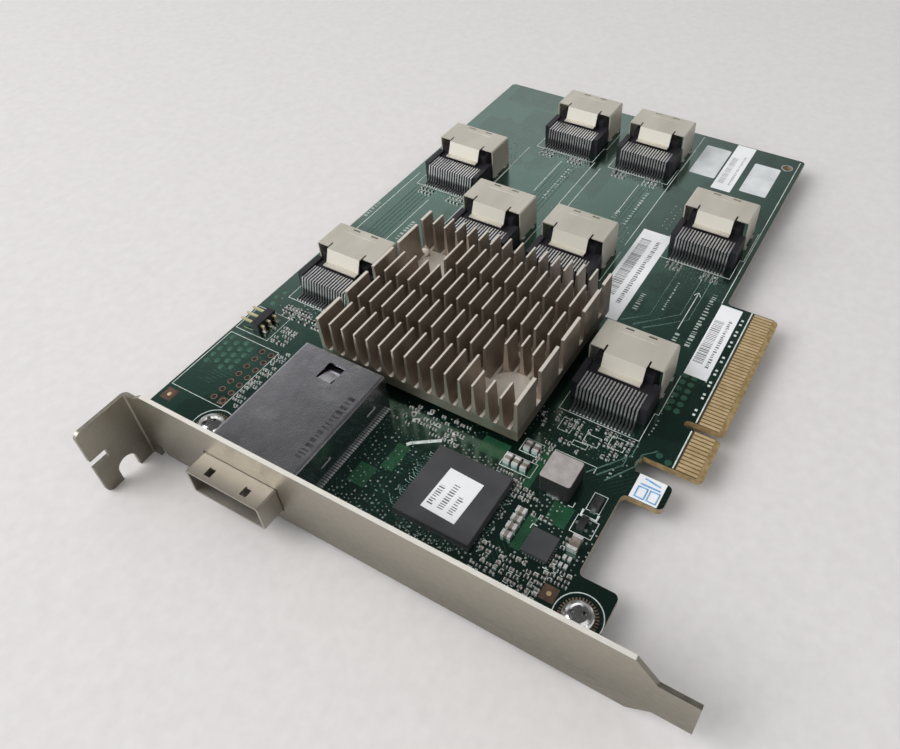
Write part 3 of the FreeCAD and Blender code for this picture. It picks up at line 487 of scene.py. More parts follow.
def sinkMaterial():
    # painted highlights on the fin tips and pocket floors, made less metallic so they show, and painted shade
    # darkening the base below a height
    look = dict(dark=(0.35, 0.292, 0.24), pale=(0.47, 0.402, 0.34), metallic=0.85, rough=(0.36, 0.54),
                patch=300, grain=2400, depth=0.012, stretch=(1, 1, 0.25),
                tip=(0.74, 0.685, 0.61), tipTall=0.25, tipFade=0.1, base=(0.26, 0.22, 0.18), baseTall=5.0,
                baseFade=1.0, floor=(0.70, 0.65, 0.58), floorDeep=3.0, floorFade=0.2, matt=0.4)
    material, tree, shader = grainy("brownAluminium", look)
    top = boxOf("heat_sink")[1].z
    # painted highlight on the fin tips
    tip = paintLightAbove(tree, shader, top - look["tipTall"], look["tipFade"], look["tip"])
    # painted highlight on the level pocket floors
    land = useGroup(tree, "face", Flatness=0.985, Height=(top - look["floorDeep"]) * mm, Fade=look["floorFade"] * mm)
    floor = sums(tree, "SUBTRACT", land["Level"], land["Above"], clamp=True)
    # painted shade: the base is darker below a height
    abovePaintedShade = useGroup(tree, "face", Height=look["baseTall"] * mm, Fade=look["baseFade"] * mm)["Above"]
    tone = mixColour(tree, abovePaintedShade, look["base"], baseColour(shader))
    # the painted highlights are made less metallic so they show
    bright = sums(tree, "MAXIMUM", floor, tip)
    feed(tree, shader, {"Base Color": mixColour(tree, floor, tone, look["floor"]),
                        "Metallic": mapValue(tree, bright, look["metallic"], look["matt"])})
    return material


def bracketMaterial():
    # painted reflection makes it paler towards the top, and a painted highlight, made less metallic so it shows, lies
    # on the cut rim
    look = dict(dark=(0.235, 0.218, 0.18), pale=(0.295, 0.275, 0.232), metallic=1.0, rough=(0.36, 0.50),
                patch=60, grain=1500, depth=0.006, stretch=(1, 0.35, 1), upper=(0.43, 0.40, 0.335), upperTall=14.0,
                upperFade=15.0, rim=(0.86, 0.83, 0.76), rimTall=0.12, rimFade=0.06, matt=0.35)
    material, tree, shader = grainy("bracketNickel", look)
    top = boxOf("slot_bracket")[1].z
    # painted reflection: paler towards the top
    paintLightAbove(tree, shader, top - look["upperTall"], look["upperFade"], look["upper"])
    # painted highlight on the cut rim
    rim = paintLightAbove(tree, shader, top - look["rimTall"], look["rimFade"], look["rim"])
    feed(tree, shader, {"Metallic": mapValue(tree, rim, look["metallic"], look["matt"])})
    return material


def shellMaterial():
    # painted highlight: the sprung strap that leans forward is paler
    look = dict(looks["creamNickel"], strapHighlight=(0.80, 0.77, 0.68), lean=-0.2, rise=0.2)
    material, tree, shader = grainy("portShell", look)
    normal = axes(tree, "Normal")
    # painted highlight on faces that lean forward and up
    strapHighlight = sums(tree, "MULTIPLY", sums(tree, "LESS_THAN", normal["X"], look["lean"]),
                 sums(tree, "GREATER_THAN", normal["Z"], look["rise"]))
    feed(tree, shader, {"Base Color": mixColour(tree, strapHighlight, baseColour(shader), look["strapHighlight"])})
    return material


def cageMaterial():
    # sheet steel with a bluish mottle behind the bracket, the bracket's own tone and a rougher face on the nose
    look = dict(dark=(0.40, 0.40, 0.43), pale=(0.62, 0.62, 0.65), metallic=1.0, rough=(0.24, 0.42), patch=130,
                grain=1800, depth=0.004, bluishMottle=(0.50, 0.50, 0.54), nose=(0.43, 0.40, 0.355), noseEnd=0.5)
    material, tree, shader = grainy("cagePlate", look)
    nose = sums(tree, "LESS_THAN", axes(tree, "Object")["X"], look["noseEnd"] * mm)
    # a bluish mottle over the steel
    bluishMottle = useGroup(tree, "grain", Scale=320.0, Detail=6.0, Low=0.45, High=0.62)["Mask"]
    mottledSteel = mixColour(tree, bluishMottle, baseColour(shader), look["bluishMottle"])
    feed(tree, shader, {"Base Color": mixColour(tree, nose, mottledSteel, look["nose"]),
                        "Roughness": mapValue(tree, nose, *look["rough"])})
    return material


def contactMaterial():
    # painted shade: the contacts are dark, and a painted highlight makes them paler above the height of the bends
    look = dict(dark=(0.13, 0.13, 0.135), pale=(0.24, 0.24, 0.245), metallic=0.9, rough=(0.25, 0.42), patch=700,
                grain=4000, depth=0.004, bend=(0.72, 0.72, 0.73), bendTall=1.5, bendFade=0.9)
    material, tree, shader = grainy("contactTin", look)
    paintLightAbove(tree, shader, look["bendTall"], look["bendFade"], look["bend"])
    return material


def inductorMaterial():
    look = dict(dark=(0.31, 0.285, 0.275), pale=(0.40, 0.365, 0.355), rough=(0.5, 0.7), patch=700, grain=2600,
                depth=0.01, side=(0.017, 0.016, 0.017))
    material, tree, shader = grainy("inductorFerrite", look)
    level = useGroup(tree, "face", Flatness=0.5)["Level"]
    feed(tree, shader, {"Base Color": mixColour(tree, level, look["side"], baseColour(shader))})
    return material


paint = {name: grainy(name, look)[0] for name, look in looks.items()}
paint.update(board=boardMaterial(), sink=sinkMaterial(), bracket=bracketMaterial(), cage=cageMaterial(),
             shell=shellMaterial(), inductor=inductorMaterial(), contacts=contactMaterial())

portNumbers = range(1, 9)
finishes = {
    "board": ["circuit_board"], "bracket": ["slot_bracket"], "brightSteel": ["bracket_screws"],
    "goldPlate": ["edge_contacts_component_side", "edge_contacts_solder_side", "external_port_contacts"],
    "cage": ["external_port_cage"], "sink": ["heat_sink"], "rubberPad": ["thermal_pad"],
    "chipMoulding": ["expander_chip", "logic_chip", "power_chip"], "inductor": ["power_inductor"],
    "ceramicBody": ["ceramic_capacitors", "output_capacitor"], "paleGold": ["header_pins"],
    "resistorBody": ["sense_resistors", "rectifier_diode", "regulator_transistor"],
    "paper": ["label_wide", "label_serial", "label_rear", "label_hook", "label_logic_chip"],
    "darkMoulding": ["external_port_housing", "pin_header", *(f"port_{n}_housing" for n in portNumbers)],
    "shell": [f"port_{n}_shell" for n in portNumbers], "contacts": [f"port_{n}_contacts" for n in portNumbers],
}
for finish, names in finishes.items():
    for name in names:
        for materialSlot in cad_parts[name].material_slots:
            materialSlot.material = paint[finish]
print("materials made:", len(paint))


# unit shapes that stand on their point, and lower ones that hang from it on the solder side
passive = dict(body=[(0.82, 0.42, 0), (0.82, 0.42, 0.33)], endAt=0.355,
               end=[(0.31, 0.52, 0), (0.21, 0.46, 0.12), (0.17, 0.436, 0.36)])
shapes = {
    "block": [boxSkin([(1, 1, 0), (1, 1, 1)])],
    "mound": [boxSkin([(1, 1, 0), (0.9, 0.84, 0.6), (0.66, 0.6, 1)])],
    "dot": [roundSkin([(0.5, 0), (0.4, 1)], 10)],
    "via": [roundSkin([(0.2, sunk), (0.17, 0.04), (0.08, 0.07)], 7)],
    "ring": [roundSkin([(0.5, 0), (0.5, 1), (0.37, 1), (0.37, 0)], 16, wrap=True)],
    "lowerVia": [roundSkin([(0.2, -0.04), (0.25, -sunk)], 8)],
    "lowerJoint": [roundSkin([(0.16, -1.0), (0.22, -0.62), (0.36, -0.28), (0.5, 0.01)], 12)],
}


def turnedOver(profile):
    return [(wide, deep, -z) for wide, deep, z in reversed(profile)]


for side, turned in (("upper", list), ("lower", turnedOver)):
    shapes[side + "Body"] = [boxSkin(turned(passive["body"]))]
    shapes[side + "Ends"] = [boxSkin(turned(passive["end"]), way * passive["endAt"]) for way in sides]
templates = {name: addObject("template." + name, makeMesh(name, skins)) for name, skins in shapes.items()}


def copies(name, points, shape, material, slotName):
    return growPiece(name, pointCarrier(points), "copies", material, slotName, Template=templates[shape])


def scatter(name, patches, shape, material, slotName, spacing, share, seed):
    return growPiece(name, patchCarrier(patches), "scatter", material, slotName, Template=templates[shape],
                     Spacing=spacing * mm, Share=share, Seed=seed)


def strips(name, lines, width, height, material, slotName, level=0.0):
    return growPiece(name, lineCarrier(lines, level + height / 2), "strip", material, slotName,
                     Width=width * mm, Height=height * mm)


# each port as the X of its mouth, the Y of its middle and its top
ports = []
for number in portNumbers:
    low, high = boxOf(f"port_{number}_shell")
    ports.append((high.x, (low.y + high.y) / 2, high.z))

portDetail = dict(pitch=0.8, contacts=18, foot=(1.5, 0.36, 0.06), footAt=-20.4, ridge=(0.26, 12.0, 0.07),
                  ridgeAt=-2.3, ridgeSunk=0.01, lip=(0.28, 9.5, 0.10), lipsAt=(-11.35, -11.95), lipTop=5.33,
                  tab=(1.4, 0.7, 0.2), tabsAt=(-2.2, -7.6), tabSide=8.75)
lipFoot = portDetail["lipTop"] - portDetail["ridgeSunk"]
footPads = []
shellRidges = []
tabSpots = []
for mouth, middle, top in ports:
    feet = evenRow(middle, portDetail["contacts"], portDetail["pitch"])
    footPads += spots([(mouth + portDetail["footAt"], y) for y in feet], portDetail["foot"])
    ridgeFoot = top - portDetail["ridgeSunk"]
    shellRidges.append(spot(mouth + portDetail["ridgeAt"], middle, *portDetail["ridge"], ridgeFoot))
    shellRidges += spots([(mouth + lip, middle) for lip in portDetail["lipsAt"]], portDetail["lip"], lipFoot)
    tabSpots += [(mouth + tab, middle + side * portDetail["tabSide"])
                 for tab in portDetail["tabsAt"] for side in sides]
copies("portFootPads", footPads, "mound", "brightTin", "tin_plating")
copies("portShellRidges", shellRidges, "mound", "creamNickel", "port_steel")
copies("portShellSolder", spots(tabSpots, portDetail["tab"]), "mound", "tinPlate", "tin_plating")
print("port details made")


# each zone of small parts: x low, x high, y low, y high, step x, step y, quarter turns, share kept
smallParts = dict(
    zones=[(7.0, 13.6, 17.6, 31.2, 1.16, 1.42, 1, 0.86), (14.6, 22.4, 17.3, 18.0, 1.05, 1.4, 1, 0.8),
           (22.5, 23.2, 20.9, 26.4, 1.6, 0.92, 0, 0.9), (24.4, 27.4, 26.6, 31.4, 1.05, 1.4, 1, 0.8),
           (12.0, 14.6, 13.6, 17.0, 1.1, 1.4, 1, 0.85), (27.2, 29.0, 31.0, 37.0, 1.0, 1.3, 1, 0.7),
           (39.4, 47.0, 15.6, 25.2, 1.5, 1.0, 0, 0.42), (40.6, 47.0, 25.8, 36.0, 1.5, 1.05, 0, 0.36),
           (33.2, 39.6, 29.6, 31.0, 1.1, 1.3, 1, 0.75), (29.0, 34.0, 47.0, 63.0, 1.25, 1.5, 1, 0.5),
           (33.7, 38.6, 96.9, 100.4, 1.12, 1.5, 1, 0.9), (41.6, 45.4, 90.8, 105.4, 1.35, 0.98, 0, 0.85),
           (15.0, 32.6, 93.7, 95.2, 1.2, 1.4, 1, 0.85), (35.6, 39.6, 102.4, 103.0, 1.3, 1.4, 1, 0.7)],
    ceramicShare=0.45, widths=(0.95, 1.0, 1.12), heights=(0.8, 1.0, 1.15), jitter=0.07, crossShare=0.06, seed=11,
    tickShare=0.5, tickAside=0.46, tickLong=(0.5, 1.1), tickWide=0.13, tickTall=0.03)
# coupling capacitors of the signal pairs in front of each port
coupling = dict(ports=slice(1, 7), at=-24.4, stepX=1.7, columns=2, aside=3.0, stepY=1.15, rows=4)
dice = random.Random(smallParts["seed"])
parts = {"ceramic": [], "resistor": [], "coupling": []}
silkTicks = []


def placeSmallPart(x, y, turn, kind=None):
    kind = kind or ("ceramic" if dice.random() < smallParts["ceramicShare"] else "resistor")
    size = (1, dice.choice(smallParts["widths"]), dice.choice(smallParts["heights"]))
    parts[kind].append(spot(x, y, *size, turn=turn))
    if dice.random() < smallParts["tickShare"]:
        aside = smallParts["tickAside"] * dice.choice(sides)
        size = (dice.uniform(*smallParts["tickLong"]), smallParts["tickWide"], smallParts["tickTall"])
        silkTicks.append(spot(x + aside * math.sin(turn), y + aside * math.cos(turn), *size, turn=turn))


for x0, x1, y0, y1, stepX, stepY, turns, share in smallParts["zones"]:
    for x, y in grid(x0, y0, x1 - x0, y1 - y0, stepX, stepY):
        if dice.random() < share:
            stray = [dice.uniform(-1, 1) * smallParts["jitter"] for _ in range(2)]
            turn = (turns + (dice.random() < smallParts["crossShare"])) * math.pi / 2
            placeSmallPart(x + stray[0], y + stray[1], turn)
for mouth, middle, top in ports[coupling["ports"]]:
    for side in sides:
        for row in range(coupling["rows"]):
            for column in range(coupling["columns"]):
                placeSmallPart(mouth + coupling["at"] + coupling["stepX"] * column,
                               middle + side * (coupling["aside"] + coupling["stepY"] * row), 0.0, "coupling")
partFinishes = {"ceramic": ("ceramicBody", "brightTin"), "resistor": ("resistorBody", "brightTin"),
                "coupling": ("ceramicBody", "tinPlate")}
for kind, (body, end) in partFinishes.items():
    copies(kind + "Bodies", parts[kind], "upperBody", body, "capacitor_ceramic")
    copies(kind + "Ends", parts[kind], "upperEnds", end, "tin_plating")
copies("silkTicks", silkTicks, "block", "silkInk", "label_paper")

# vias stand in loose rows: x low, x high, y low, y high, pitch, share kept
viaRows = dict(
    zones=[(6.9, 9.7, 31.6, 63.4, 0.92, 0.72), (10.4, 24.0, 53.4, 63.4, 1.22, 0.55),
           (24.4, 33.0, 57.2, 63.4, 1.2, 0.5), (11.0, 27.2, 30.5, 32.3, 0.86, 0.8),
           (27.9, 29.2, 37.4, 49.6, 0.95, 0.75), (23.9, 27.0, 21.0, 29.6, 0.95, 0.6),
           (38.6, 47.0, 14.6, 36.2, 1.35, 0.4), (48.4, 66.0, 13.5, 14.6, 1.1, 0.6),
           (41.2, 47.0, 88.2, 108.0, 1.3, 0.4), (7.0, 13.8, 17.2, 31.0, 1.05, 0.5),
           (14.2, 24.2, 12.9, 14.2, 1.0, 0.6), (20.7, 22.0, 18.8, 26.0, 0.9, 0.7),
           (29.4, 35.2, 44.0, 56.6, 1.25, 0.45), (117.0, 127.4, 36.4, 38.8, 1.6, 0.8),
           (102.8, 111.0, 67.6, 69.8, 1.1, 0.6), (106.0, 111.6, 44.6, 46.2, 1.1, 0.6)],
    jitter=0.16, sizes=(0.8, 1.0, 1.0, 1.3), seed=5)
viaDice = random.Random(viaRows["seed"])
viaSpots = []
for x0, x1, y0, y1, pitch, share in viaRows["zones"]:
    for row in range(int((y1 - y0) / pitch) + 1):
        for column in range(int((x1 - x0) / pitch) + 1):
            if viaDice.random() < share:
                stray = [viaDice.uniform(-1, 1) * viaRows["jitter"] for _ in range(2)]
                size = viaDice.choice(viaRows["sizes"])
                viaSpots.append(spot(x0 + (column + 0.5 * (row % 2)) * pitch + stray[0],
                                     y0 + row * pitch + stray[1], size, size, 1.0, 0.0))

# a line leaves each pin of the logic chip, bends half a right angle and ends in a via
fanOut = dict(pitch=0.62, pins=23, reaches=((1, 0, 1.1), (-1, 0, 2.2), (0, 1, 3.0), (0, -1, 1.7)), runs=(0.3, 0.7),
              width=0.13, tall=0.02, via=0.8)
chipLow, chipHigh = boxOf("logic_chip")
chipMiddle = (chipLow + chipHigh) / 2
chipHalf = (chipHigh - chipLow) / 2
fanLines = []
for dx, dy, reach in fanOut["reaches"]:
    base = (chipMiddle.x + dx * chipHalf.x, chipMiddle.y + dy * chipHalf.y)
    for pin in evenRow(0, fanOut["pins"], fanOut["pitch"]):
        run = reach * viaDice.uniform(*fanOut["runs"])
        bend = viaDice.choice(sides) * viaDice.uniform(0.0, reach - run)
        path = [(0.0, pin), (run, pin), (run + abs(bend), pin + bend)]
        fanLines.append([(base[0] + dx * out + abs(dy) * across, base[1] + dy * out + abs(dx) * across)
                         for out, across in path])
        viaSpots.append(spot(*fanLines[-1][-1], fanOut["via"], fanOut["via"], 1.0, 0.0))
copies("viaDots", viaSpots, "via", "viaTin", "tin_plating")
strips("fanLines", fanLines, fanOut["width"], fanOut["tall"], "greenTrace", "board_laminate")
covered = dict(spacing=0.8, share=0.4, seed=9)
scatter("coveredVias", [(6.6, 34, 50.6, 63.6), (39, 47, 15, 36), (28, 36, 36, 47), (100, 134, 88, 94),
                        (96, 104, 14.5, 34), (41, 47, 88, 108)], "via", "maskedDot", "board_laminate", **covered)

# broad copper under the mask round the power parts
pourTall = 0.025
pours = [(22.2, 27.2, 18.8, 23.4), (14.2, 22.3, 24.0, 26.2), (26.8, 38.0, 28.9, 30.9), (30.2, 34.4, 36.8, 43.0),
         (17.2, 24.0, 54.6, 57.6), (11.4, 16.6, 57.4, 61.6)]
copies("copperPours", [block(*pour, sunk, pourTall) for pour in pours], "mound", "maskedCopper", "board_laminate")

# rows of chips: count, x, y, step x, step y, length, width, height, and 1 where the length runs along X
endCap = dict(reach=0.58, proud=0.03, rows=[
    (3, 31.0, 32.1, 0, 1.9, 2.0, 1.25, 0.95, 1), (2, 35.8, 32.0, 0, 1.9, 2.0, 1.25, 0.95, 1),
    (4, 16.0, 27.6, 1.9, 0, 2.0, 1.25, 0.95, 0), (2, 15.5, 15.6, 1.7, 0, 1.6, 0.8, 0.5, 0),
    (1, 20.3, 15.6, 0, 0, 3.2, 1.9, 1.4, 1)])
chipEnds = []
for count, x, y, stepX, stepY, long, wide, tall, alongX in endCap["rows"]:
    size = [edge + 2 * endCap["proud"] for edge in (endCap["reach"], wide)]
    for i in range(count):
        for side in sides:
            shift = side * (long - endCap["reach"]) / 2
            chipEnds.append(spot(x + stepX * i + shift * alongX, y + stepY * i + shift * (1 - alongX),
                                 *(size if alongX else reversed(size)), tall + endCap["proud"] - sunk))
copies("chipEnds", chipEnds, "block", "brightTin", "tin_plating")

leads = spots([(30.1 + side * 1.65, 15.8) for side in sides], (0.8, 1.2, 0.35))
leads += spots([(24.1, 15.3), (25.9, 15.3), (25.0, 17.3)], (0.5, 0.9, 0.3))
powerChip = dict(x=17.1, y=21.1, leads=8, first=-2.1, pitch=0.6, aside=2.75, long=0.5, wide=0.3, tall=0.16)
long, wide, tall = powerChip["long"], powerChip["wide"], powerChip["tall"]
for i in range(powerChip["leads"]):
    for side in sides:
        step, aside = powerChip["first"] + powerChip["pitch"] * i, side * powerChip["aside"]
        leads.append(spot(powerChip["x"] + step, powerChip["y"] + aside, wide, long, tall))
        leads.append(spot(powerChip["x"] + aside, powerChip["y"] + step, long, wide, tall))
leads += spots([(31.15 + side * 3.3, 24.0) for side in sides], (0.8, 3.0, 0.35))
leads += spots([(35.2 + 2.0 * i, 103.75) for i in range(3)], (0.9, 1.6, 0.12))
copies("partLeads", leads, "mound", "tinPlate", "tin_plating")

# the inductor's block with round corners: the height of each loop and how far it is set in
inductor = dict(corner=0.55, steps=5,
                loops=((0.05, 0.1), (0.6, 0.0), (4.8, 0.0), (4.92, 0.04), (4.98, 0.12), (5.0, 0.22)))
coilLow, coilHigh = boxOf("power_inductor")
coil = (coilLow + coilHigh) / 2
coilLoops = []
for z, inset in inductor["loops"]:
    wide = coilHigh.x - coilLow.x - 2 * inset
    coilLoops.append(squareLoop(coil.x, coil.y, wide, wide, z, inductor["corner"] - inset / 2, inductor["steps"]))
coilMesh = makeMesh("inductorBlock", [stackLoops(coilLoops)])
inductorBlock = addPiece("inductorBlock", coilMesh, "inductor")
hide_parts("power_inductor")
print("small parts made")


screw = dict(headRadius=3.0, headTall=2.0, rim=0.45, dome=(0.25, 0.5, 0.75, 1.0, 1.2, 1.38), bulge=0.8,
             shank=1.4, point=0.9, taper=0.5, tip=-3.23, slotLong=3.4, slotWide=0.72, slotDeep=1.15, slotTop=2.3,
             slotFoot=(0.45, 0.8), steps=40, spots=((8.2, 9.0), (8.2, 94.05)), turn=0.35, turnStep=0.5,
             ticks=36, tickRadius=3.3, tick=(0.85, 0.3, 0.06), outline=4.6)


def screwMesh():
    r, rim, dome = screw["headRadius"], screw["rim"], screw["headTall"] - screw["rim"]
    profile = [(screw["point"], screw["tip"]), (screw["shank"], screw["tip"] + screw["taper"]),
               (screw["shank"], 0.0), (r, 0.0), (r, rim)]
    profile += [(r * math.cos(a) ** screw["bulge"], rim + dome * math.sin(a)) for a in screw["dome"]]
    head = addObject("screwHead", makeMesh("screwHead", [roundSkin(profile, screw["steps"])]))
    # a cross recess that narrows to its floor
    floor = screw["headTall"] - screw["slotDeep"]
    mouth = (screw["slotLong"], screw["slotWide"])
    foot = tuple(size * share for size, share in zip(mouth, screw["slotFoot"]))
    cutters = []
    for way in (1, -1):
        slot = boxSkin([(*foot[::way], floor), (*mouth[::way], screw["slotTop"])])
        cutters.append(addObject("screwCutter", makeMesh("screwCutter", [slot])))
        modifier = head.modifiers.new("slot", "BOOLEAN")
        modifier.object = cutters[-1]
        modifier.operation = "DIFFERENCE"
        modifier.solver = "EXACT"
    mesh = bakedMesh(head)
    for item in (head, *cutters):
        bpy.data.objects.remove(item)
    return mesh


templates["screw"] = addObject("template.screw", screwMesh())
screwSpots = [spot(x, y, 1, 1, 1, 0.0, screw["turn"] + screw["turnStep"] * i)
              for i, (x, y) in enumerate(screw["spots"])]
screws = copies("panScrews", screwSpots, "screw", "brightSteel", "screw_steel")
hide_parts("bracket_screws")

# bare copper ring with short radial ticks under each head
ticks = []
for x, y in screw["spots"]:
    for i in range(screw["ticks"]):
        angle = 2 * math.pi * i / screw["ticks"]
        ticks.append(spot(x + screw["tickRadius"] * math.cos(angle), y + screw["tickRadius"] * math.sin(angle),
                          *screw["tick"], turn=angle))
copies("screwRingTicks", ticks, "mound", "copperRing", "gold_plating")
print("screws made")


cageLow, cageHigh = boxOf("external_port_cage")
cage = dict(near=6.5, far=31.0, toothPitch=0.62, toothHalf=0.19, toothGap=0.02, toothReach=0.75, toothTall=0.22,
            windows=((9.2, 12.4), (23.8, 27.0)), springOut=0.06, springIn=0.2, springZ=(3.72, 3.95),
            hookZ=(3.72, 4.42))
teeth = []
for i in range(int((cage["far"] - cage["near"]) / cage["toothPitch"])):
    x = cage["near"] + i * cage["toothPitch"]
    for y0, y1 in ((cageLow.y - cage["toothReach"], cageLow.y - cage["toothGap"]),
                   (cageHigh.y + cage["toothGap"], cageHigh.y + cage["toothReach"])):
        teeth.append(block(x - cage["toothHalf"], x + cage["toothHalf"], y0, y1, sunk, cage["toothTall"]))
copies("cageTeeth", teeth, "mound", "brightTin", "cage_steel")
springs = []
nearY = (cageLow.y - cage["springOut"], cageLow.y + cage["springIn"])
farY = (cageHigh.y - cage["springIn"], cageHigh.y + cage["springOut"])
for x0, x1 in cage["windows"]:
    springs.append(block(x0 + 0.15, x1 - 0.5, *nearY, *cage["springZ"]))
    springs.append(block(x1 - 0.75, x1 - 0.25, *nearY, *cage["hookZ"]))
    springs.append(block(x0 + 0.15, x1 - 0.5, *farY, *cage["springZ"]))
copies("cageSpringTabs", springs, "mound", "brightTin", "cage_steel")
print("cage details made")


header = dict(outline=(13.0, 31.3, 96.1, 110.5), first=(14.6, 97.15), pitch=2.54, columns=7, rows=2,
              ring=(1.45, 1.45, 0.05), bore=(1.05, 1.05, 0.02))
screwRings = [circleLine(x, y, screw["outline"]) for x, y in screw["spots"]]
silkLines = [
    rectLine(29.3, 32.8, 30.0, 37.0), rectLine(34.3, 37.7, 31.0, 35.2),
    [(27.4, 20.6), (27.4, 19.6), (28.6, 19.6)], [(33.6, 28.6), (34.8, 28.6), (34.8, 27.4)],
    [(36.4, 19.5), (38.0, 19.5), (38.0, 28.7), (36.4, 28.7)],
    rectLine(*header["outline"]), rectLine(33.0, 41.1, 101.2, 110.6),
    [(82.5, 19.9), (97.0, 19.9)], [(95.6, 20.7), (97.0, 19.9), (95.6, 19.1)],
    [(84.0, 87.8), (84.0, 89.4), (100.0, 89.4)], [(105.0, 87.6), (134.0, 87.6)], [(105.0, 64.0), (134.0, 64.0)],
    [(105.0, 43.3), (165.0, 43.3)], [(115.0, 75.7), (132.0, 75.7)], [(116.0, 51.0), (132.0, 51.0)],
    [(76.5, 108.9), (107.0, 108.9)], [(76.5, 99.3), (97.0, 99.3)], [(96.0, 13.8), (165.0, 13.8)],
    rectLine(28.4, 32.6, 14.5, 17.3), rectLine(22.7, 26.6, 13.6, 18.0),
    rectLine(43.0, 46.4, 28.2, 31.0), rectLine(42.3, 44.8, 21.6, 24.9), rectLine(43.8, 46.8, 16.6, 20.0),
    rectLine(40.8, 42.0, 23.4, 26.6), [(113.0, 66.8), (136.0, 66.8)], [(70.0, 8.4), (73.0, 8.4)],
    [(13.6, 17.6), (13.6, 18.8)], [(20.6, 23.6), (20.6, 24.6), (19.6, 24.6)], *screwRings,
]
# half of a port's outline: along X from the mouth, and aside
portOutline = ((-21.5, 0.0), (-21.5, 9.2), (-13.2, 9.2), (-13.2, 10.1), (-0.4, 10.1))
for mouth, middle, top in ports:
    silkLines += [[(mouth + x, middle + side * y) for x, y in portOutline] for side in sides]
silkTall = 0.03
for name, lines, width, tall in (
        ("silkLines", silkLines, 0.2, silkTall),
        ("fingerLines", [[(45.2, 6.3), (55.9, 6.3)], [(58.3, 6.3), (96.2, 6.3)]], 0.32, silkTall),
        ("silkBracket", [[(28.2, 14.4), (26.9, 14.4), (26.9, 17.6), (28.2, 17.6)]], 0.5, silkTall),
        ("paintTick", [[(24.2, 55.9), (25.0, 55.4), (28.6, 50.2)]], 0.8, 0.05)):
    strips(name, lines, width, tall, "silkInk", "label_paper")

traceLines = [
    [(79.2, 32.8), (83.8, 27.4), (104.0, 27.4)], [(79.0, 29.8), (87.5, 21.0), (104.0, 21.0)],
    [(79.0, 27.3), (86.6, 18.7), (104.0, 18.7)], [(36.0, 21.0), (44.0, 14.6), (48.0, 14.6)],
    [(36.4, 19.0), (41.0, 15.2), (43.6, 15.2)], [(36.0, 17.0), (42.0, 12.9), (45.2, 12.9), (47.6, 10.6)],
]
# straight bundles of five: x low, x high, first y, pitch
traceBundles = ((104.0, 134.0, 70.4, 1.1), (104.0, 134.0, 46.6, 1.1), (71.0, 102.0, 101.0, 1.2))
for i in range(5):
    traceLines += [[(x0, y + pitch * i), (x1, y + pitch * i)] for x0, x1, y, pitch in traceBundles]
strips("heavyTraces", traceLines, 0.32, 0.02, "greenTrace", "board_laminate")

maskDots = [(x, y) for row, y in enumerate((109.0, 106.8, 104.7, 102.6)) for x in
            [21.9 + (row % 2) * 1.0 + 2.05 * i for i in range(5 - row % 2)]]
maskDots += [(59.3 + 2.1 * i, y) for i in range(6) for y in (13.0, 11.0)]
maskDots += [(43.4, 108.6), (45.6, 109.4), (47.8, 108.4), (46.0, 7.6), (46.8, 9.8)]
copies("maskedVias", spots(maskDots, (1.25, 1.25, 0.05)), "dot", "maskedDot", "board_laminate")
copies("maskedViaRims", spots(maskDots, (1.55, 1.55, 0.03)), "ring", "maskedCopper", "board_laminate")

# bare pads of solder between the cage and the heat sink: x, y, turn, width, depth
loosePads = [(30.5, 57.8, 0.5, 1.0, 1.7), (32.0, 59.3, 0.4, 0.7, 1.3), (33.4, 56.3, 0.1, 0.5, 1.4),
             (31.4, 53.0, 0.0, 0.5, 1.6), (31.3, 48.9, 0.6, 0.8, 0.9), (30.2, 56.2, 0.3, 0.4, 0.7)]
copies("loosePads", [spot(x, y, wide, deep, 0.04, turn=turn) for x, y, turn, wide, deep in loosePads], "mound",
       "brightTin", "tin_plating")

squareX = (60.2, 61.6, 65.4, 66.6, 69.4, 70.5, 73.2, 74.5, 77.5, 79.0, 83.0, 84.5, 87.0, 88.3, 91.0, 92.5)
copies("silkSquares", spots([(x, 7.5) for x in squareX], (0.62, 0.62, 0.03)), "mound", "silkInk", "label_paper")

headerSpots = [(header["first"][0] + header["pitch"] * i, header["first"][1] + header["pitch"] * row)
               for i in range(header["columns"]) for row in range(header["rows"])]
copies("headerRings", spots(headerSpots, header["ring"]), "ring", "copperRing", "gold_plating")
copies("headerBores", spots(headerSpots, header["bore"]), "dot", "boreShade", "board_laminate")
strips("headerFirstPad", [rectLine(13.75, 15.45, 96.3, 98.0)], 0.18, 0.05, "copperRing", "gold_plating")

# white fields with round corners: x, y, width, depth
fields = ((153.2, 37.2, 16.0, 7.6), (150.8, 21.5, 15.6, 7.6))
fieldSkins = [stackLoops([squareLoop(*field, z, 0.5, 3) for z in (sunk, 0.025)]) for field in fields]
addPiece("silkFields", makeMesh("silkFields", fieldSkins), "whiteField")
copies("toolingHoleRim", [spot(160.5, 16.5, 3.4, 3.4, 0.04)], "ring", "tinPlate", "tin_plating")

fiducials = ((9.7, 15.4), (10.5, 108.7))
copies("fiducialFields", spots(fiducials, (3.2, 3.2, 0.02)), "mound", "bareLaminate", "board_laminate")
copies("fiducialDots", spots(fiducials, (1.0, 1.0, 0.06), 0.0), "dot", "goldPlate", "gold_plating")
print("board marks made")


# widths and gaps of the marks in a row of generic print
rowStyles = dict(bar=((0.119, 0.119, 0.204, 0.323), (0.17, 0.238, 0.34)), dash=((0.2, 0.3, 0.45), (0.3, 0.45)),
                 chip=((0.2, 0.2, 0.3), (0.3, 0.42)), cage=((0.35, 0.5, 0.8), (0.5, 0.7)),
                 silk=((0.25, 0.4, 0.7), (0.45, 0.75)))
inkTall = 0.02


